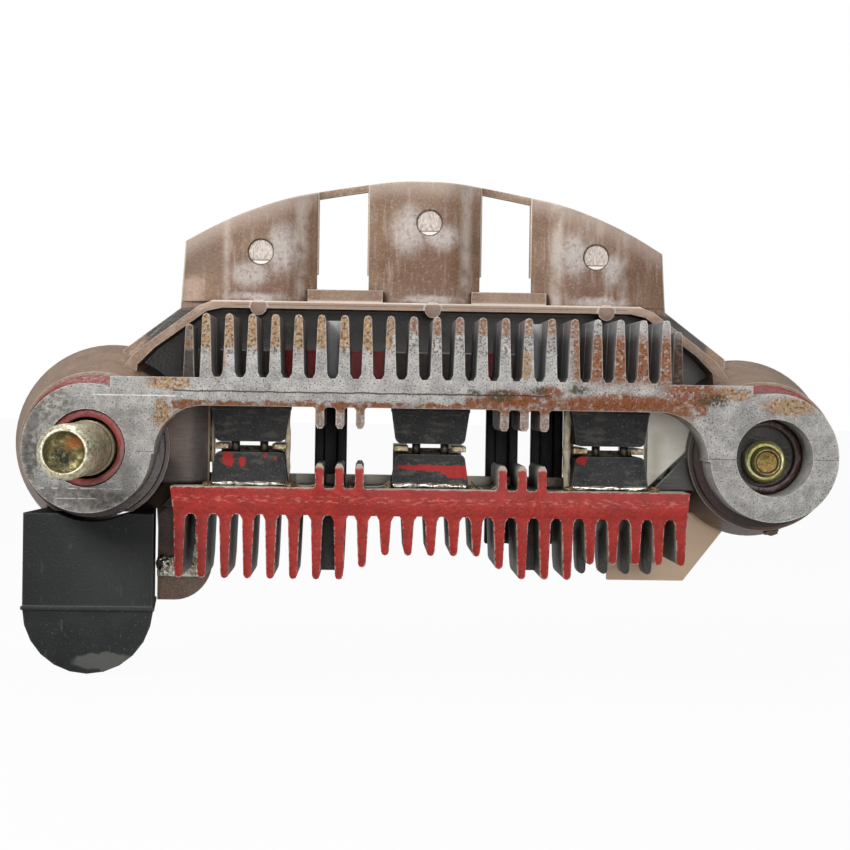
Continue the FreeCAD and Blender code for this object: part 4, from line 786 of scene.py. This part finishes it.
def wallSkin(index, start, end, left, right):
    # one scalloped bay: depth is a smooth curve through the flanks' points; the height runs from the shelf to
    # the arch; the rim is rolled back into the board and a round mark is sunk where the ejector stood
    w = wall
    knots = np.array([start, start + left / 2, start + left, (start + left + end - right) / 2, end - right,
                      end - right / 2, end]) + w["middle"]
    depths = np.array(w["depths"])
    bend = np.linalg.solve(*splineRows(knots, depths))
    u = np.linspace(0, 1, w["grid"][0])[:, None]
    v = np.linspace(0, 1, w["grid"][1])[None, :]
    x0 = w["middle"] + start + w["inset"]
    x1 = w["middle"] + end - w["inset"]
    x = x0 + (x1 - x0) * u + 0 * v
    # the outer bays' outer ends lean in with the height, and the arch follows x: three rounds settle it
    for _ in range(3):
        top = w["archZ"] + np.sqrt(w["archR"] ** 2 - (x - w["archX"]) ** 2) - w["roll"]
        z = w["low"] + (top - w["low"]) * v
        lean = w["taper"] * (z - w["low"]) / (w["top"] - w["low"])
        x = ((x0 + (lean if start < -w["outer"] else 0)) * (1 - u)
             + (x1 - (lean if end > w["outer"] else 0)) * u + 0 * v)
    y = splineDepth(knots, depths, bend, x) - w["ahead"]
    markX, markZ = ejectorMarks[index]
    away = np.hypot(x - markX, z - markZ)
    y = y + w["dip"] * np.clip((w["markReach"] - away) / w["markSlope"], 0, 1)
    t = np.linspace(0, np.pi / 2, w["rollRows"] + 1)[None, 1:]
    rollY = y[:, -1:] + w["fold"] * (1 - np.cos(t))
    rollZ = z[:, -1:] + w["roll"] * np.sin(t)
    x = np.concatenate([x, np.repeat(x[:, -1:], w["rollRows"], 1)], 1)
    y, z = np.concatenate([y, rollY], 1), np.concatenate([z, rollZ], 1)
    x = np.concatenate([x[:1] - w["foldStep"], x, x[-1:] + w["foldStep"]])
    y, z = np.concatenate([y[:1] + w["fold"], y, y[-1:] + w["fold"]]), np.concatenate([z[:1], z, z[-1:]])
    return gridPiece("scallopedWall." + str(index), x, y, z, baffleFinish, sheet=w["sheet"])


def splineRows(knots, depths):
    # equations for the second derivatives of a natural cubic curve through the points
    gap = np.diff(knots)
    size = len(knots)
    rows = np.eye(size)
    inner = np.arange(1, size - 1)
    rows[inner, inner - 1], rows[inner, inner + 1] = gap[:-1], gap[1:]
    rows[inner, inner] = 2 * (gap[:-1] + gap[1:])
    side = np.zeros(size)
    side[1:-1] = 6 * np.diff(np.diff(depths) / gap)
    return rows, side


def splineDepth(knots, depths, bend, x):
    # that curve's value at x
    part = np.clip(np.searchsorted(knots, x) - 1, 0, len(knots) - 2)
    gap = knots[part + 1] - knots[part]
    a, b = (knots[part + 1] - x) / gap, (x - knots[part]) / gap
    return (a * depths[part] + b * depths[part + 1]
            + ((a ** 3 - a) * bend[part] + (b ** 3 - b) * bend[part + 1]) * gap ** 2 / 6)


for index, bay in enumerate(wall["bays"]):
    wallSkin(index, *bay)
print("stud and scalloped wall made")

drops = {                            # middle x, y, z; reach along x, y, z; seed; finish and slot
    "fluxDrop.0": ((17.9, 6.2, -5.5), (0.8, 0.8, 0.5), 1.0, varnishFinish, "diode_epoxy"),
    "fluxDrop.1": ((30.5, 6.0, -5.5), (0.8, 0.8, 0.5), 2.2, varnishFinish, "diode_epoxy"),
    "fluxDrop.2": ((73.7, 6.2, -5.5), (0.8, 0.8, 0.5), 3.1, varnishFinish, "diode_epoxy"),
    "fluxDrop.3": ((86.9, 6.2, -5.5), (0.8, 0.8, 0.6), 4.4, varnishFinish, "diode_epoxy"),
    "bellLug": ((106.5, 13.4, -11.9), (1.3, 1.0, 0.7), 1.4, materials["brown_moulding"], "brown_moulding"),
    "strapLump": ((9.5, 25.0, -19.2), (1.2, 0.7, 1.3), 2.7, solderFinish, "tinned_copper"),
    "strapDrop": ((13.9, 24.9, -19.4), (0.7, 0.4, 0.6), 0.9, solderFinish, "tinned_copper"),
}
unevenBall = 0.16


def drop(name, middle, reach, seed, finish, slot):
    # an uneven ball: latitude and longitude, its radius pushed in and out by the ripple
    across = np.linspace(0, 2 * np.pi, 40, endpoint=False)[:, None]
    down = np.linspace(0, np.pi, 22)[None, :]
    ball = (np.cos(across) * np.sin(down), np.sin(across) * np.sin(down), np.cos(down) + 0 * across)
    swell = 1 + unevenBall * ripple(2 * ball[0], 2 * ball[2] + ball[1], seed)
    x, y, z = (middle[axis] + reach[axis] * swell * ball[axis] for axis in range(3))
    return gridPiece(name, x, y, z, finish, closed=True)


for name, row in drops.items():
    drop(name, *row)

beads = {                            # places along the run, radius, seed
    "solderBead.0": (((18.2, 7.8, -5.35), (24.2, 7.6, -5.3), (30.2, 7.8, -5.35)), 0.42, 0.3),
    "solderBead.1": (((46.2, 7.8, -5.3), (52.2, 7.6, -5.2), (58.2, 7.8, -5.3)), 0.45, 1.7),
    "solderBead.2": (((74.2, 7.8, -5.3), (80.2, 7.6, -5.3), (86.2, 7.8, -5.3)), 0.42, 3.9),
}
sleeves = {                          # the same, beside the diodes
    "leadSleeve.0": (((29.9, 12.0, -5.9), (30.0, 12.2, 0.0), (29.9, 12.0, 7.0)), 0.42, 2.0),
    "leadSleeve.1": (((18.4, 12.0, -5.9), (18.3, 12.2, 0.5), (18.4, 12.0, 7.0)), 0.22, 4.0),
    "leadSleeve.2": (((73.9, 12.0, -5.9), (73.8, 12.2, 0.5), (73.9, 12.0, 7.0)), 0.6, 5.0),
}
beadShape = {"rings": 60, "round": 20, "uneven": 0.22, "blunt": 24}


def bead(name, places, radius, seed, finish, slot):
    # a rounded run along a bent path; its thickness follows the ripple and its ends are closed
    shape = beadShape
    places = np.array(places)
    t = np.linspace(0, 1, shape["rings"])
    path = np.stack([np.interp(t, np.linspace(0, 1, len(places)), places[:, axis]) for axis in range(3)], -1)
    along = np.gradient(path, axis=0)
    along /= np.linalg.norm(along, axis=1, keepdims=True)
    side = np.cross(along, [0.0, 1.0, 0.0])
    side /= np.linalg.norm(side, axis=1, keepdims=True)
    deep = np.cross(along, side)
    turn = np.linspace(0, 2 * np.pi, shape["round"], endpoint=False)[:, None]
    ends = np.sqrt(np.clip(1 - np.abs(2 * t - 1) ** shape["blunt"], 0, 1))
    thick = radius * ends * (1 + shape["uneven"] * ripple(9 * t[None, :], 1.5 * np.cos(turn), seed))
    outward = np.cos(turn)[..., None] * side[None] + np.sin(turn)[..., None] * deep[None]
    place = path[None] + thick[..., None] * outward
    return gridPiece(name, place[..., 0], place[..., 1], place[..., 2], finish, closed=True)


for name, row in beads.items():
    bead(name, *row, solderFinish, "tinned_copper")
for name, row in sleeves.items():
    bead(name, *row, sleevingFinish, "brown_moulding")

pools = {                            # from x to x, height at its ends, seed
    "varnishPool.0": (31.0, 35.0, 1.3, 0.7),
    "varnishPool.1": (39.4, 46.2, 1.4, 1.6),
    "varnishPool.2": (58.6, 63.2, 1.5, 2.9),
}
poolShape = {"floor": -5.75, "middle": 8.0, "reach": 1.6, "least": 0.25, "bulge": -0.08, "uneven": 0.12,
             "blunt": 40}


def pool(name, start, end, height, seed):
    # varnish hung between two walls: a flat-bottomed tube whose top sinks with the fourth power of the distance
    # from its ends, where it closes to a point
    shape = poolShape
    u = np.linspace(0, 1, 60)[None, :]
    turn = np.linspace(0, 2 * np.pi, 28, endpoint=False)[:, None]
    fromMiddle = np.abs(2 * u - 1)
    ends = np.sqrt(np.clip(1 - fromMiddle ** shape["blunt"], 0, 1))
    crown = (shape["least"] + height * fromMiddle ** 4) * ends * np.maximum(np.sin(turn), shape["bulge"])
    x = start + (end - start) * u + 0 * turn
    reach = shape["reach"] * np.cos(turn) + shape["uneven"] * ripple(x, 2 * np.sin(turn), seed)
    y = shape["middle"] - reach * ends
    z = shape["floor"] + crown * (1 + shape["uneven"] / 2 * ripple(2 * x, np.sin(turn), seed))
    return gridPiece(name, x, y, z, varnishFinish, closed=True)


for name, row in pools.items():
    pool(name, *row)

flanks = {                           # left and right edge, foot at each, head at each, depth, belly
    "leftFlank": (8.6, 17.75, -5.65, -5.65, 7.4, 7.4, 12.4, 1.2),
    "rightFlank": (86.7, 95.4, -5.6, 2.7, 7.4, 7.4, 13.2, -0.9),
    "rightGusset": (87.9, 96.2, -5.7, -5.7, -5.5, 3.1, 14.0, 0.3),
}
flankShape = {"thickness": 0.9, "columns": 50, "rows": 40}


def flank(name, start, end, footStart, footEnd, headStart, headEnd, depth, belly):
    # a bowed plate whose foot and head may slant: depth follows half a sine across; front and back in one loop
    shape = flankShape
    there = np.linspace(0, 1, shape["columns"])
    across = np.concatenate([there, there[::-1]])[:, None]
    back = np.concatenate([0 * there, 0 * there + 1])[:, None]
    up = np.linspace(0, 1, shape["rows"])[None, :]
    foot = footStart + (footEnd - footStart) * across
    head = headStart + (headEnd - headStart) * across
    front = depth - belly * np.sin(across * np.pi)
    x = start + (end - start) * across + 0 * up
    y = front + shape["thickness"] * back + 0 * up
    z = foot + (head - foot) * up
    # the last rows fold in, so that head and foot are closed
    y[:, 0] = y[:, -1] = front[:, 0] + shape["thickness"] / 2
    return gridPiece(name, x, y, z, flankFinish, closed=True)


for name, row in flanks.items():
    flank(name, *row)
print("flanks made:", len(flanks))


# Stage, lights and camera

stage = {"floorDrop": 0.3, "reach": 3000.0, "floorColour": "#c4c2c0", "floorShare": 0.96, "glossShare": 0.32,
         "around": 0.1}
white = (1, 1, 1, 1)


def seenRays(tree, share):
    # how much of the white backdrop each ray finds: all of it for the camera and through glass, a part in gloss
    rays = tree.nodes.new("ShaderNodeLightPath")
    seen = both(tree, rays.outputs["Is Camera Ray"], rays.outputs["Is Transmission Ray"], "MAXIMUM")
    seen = both(tree, seen, both(tree, rays.outputs["Is Glossy Ray"], stage["glossShare"]), "MAXIMUM")
    return both(tree, seen, share)


def floorAndWorld():
    low = cadBounds[0].z / mm - stage["floorDrop"]
    half = stage["reach"]
    places = [(-half, -half, low), (half, -half, low), (half, half, low), (-half, half, low)]
    mesh = bpy.data.meshes.new("floor")
    mesh.from_pydata([tuple(c * mm for c in place) for place in places], [], [(0, 1, 2, 3)])
    floor = bpy.data.objects.new("floor", mesh)
    scene.collection.objects.link(floor)
    made = bpy.data.materials.new("paperFloor")
    made.use_nodes = True
    tree = made.node_tree
    tree.nodes.clear()
    matt = addNode(tree, "BsdfDiffuse", {"Color": linear(stage["floorColour"])})
    bright = addNode(tree, "Emission", {"Color": white, "Strength": 1.0})
    mixed = addNode(tree, "MixShader", {0: seenRays(tree, stage["floorShare"]), 1: matt, 2: bright})
    addNode(tree, "OutputMaterial", {"Surface": mixed})
    mesh.materials.append(made)

    world = bpy.data.worlds.new("whiteStudio")
    scene.world = world
    world.use_nodes = True
    tree = world.node_tree
    tree.nodes.clear()
    around = addNode(tree, "Background", {"Color": white, "Strength": stage["around"]})
    bright = addNode(tree, "Background", {"Color": white, "Strength": 1.0})
    mixed = addNode(tree, "MixShader", {0: seenRays(tree, 1.0), 1: around, 2: bright})
    addNode(tree, "OutputWorld", {"Surface": mixed})


lamps = {                            # place, aim, size and power in watts
    "keySoftbox": ((-240, -340, 300), (45, 0, 5), 200, 2.45),
    "fillSoftbox": ((140, -480, 60), (50, 0, 5), 260, 1.1),
    "topSoftbox": ((40, 60, 420), (50, 10, 10), 260, 0.8),
}


def addLamps():
    for name, (place, aim, size, power) in lamps.items():
        data = bpy.data.lights.new(name, "AREA")
        data.size = size * mm
        data.energy = power
        lamp = bpy.data.objects.new(name, data)
        scene.collection.objects.link(lamp)
        place, aim = Vector(place) * mm, Vector(aim) * mm
        lamp.location = place
        lamp.rotation_mode = "QUATERNION"
        lamp.rotation_quaternion = (aim - place).to_track_quat("-Z", "Y")


# place in millimetres; focal length and the picture's middle beside and under the axis in the photo's pixels
view = {"place": (42.43, -327.0, 8.67), "roll": math.atan2(10.5, 690), "focal": 2159.0, "aside": 57.0,
        "down": 30.0, "pixels": 850.0, "sensor": 36.0, "nearest": 0.01, "farthest": 20.0}


def addCamera():
    # looks along +y, turned so that the photo's middle is at its own middle
    turn = view["roll"]
    right = Vector((math.cos(turn), 0, math.sin(turn)))
    up = Vector((-math.sin(turn), 0, math.cos(turn)))
    ahead = (Vector((0, 1, 0)) * view["focal"] + right * view["aside"] - up * view["down"]).normalized()
    right = (right - ahead * right.dot(ahead)).normalized()
    up = right.cross(ahead)
    data = bpy.data.cameras.new("photoCamera")
    data.sensor_width = view["sensor"]
    data.lens = view["sensor"] * view["focal"] / view["pixels"]
    data.clip_start = view["nearest"]
    data.clip_end = view["farthest"]
    camera = bpy.data.objects.new("photoCamera", data)
    scene.collection.objects.link(camera)
    camera.rotation_mode = "QUATERNION"
    camera.rotation_quaternion = Matrix((right, up, -ahead)).transposed().to_quaternion()
    camera.location = Vector(view["place"]) * mm
    scene.camera = camera


floorAndWorld()
addLamps()
addCamera()
scene.view_settings.view_transform = "Standard"
print("stage, lights and camera set")
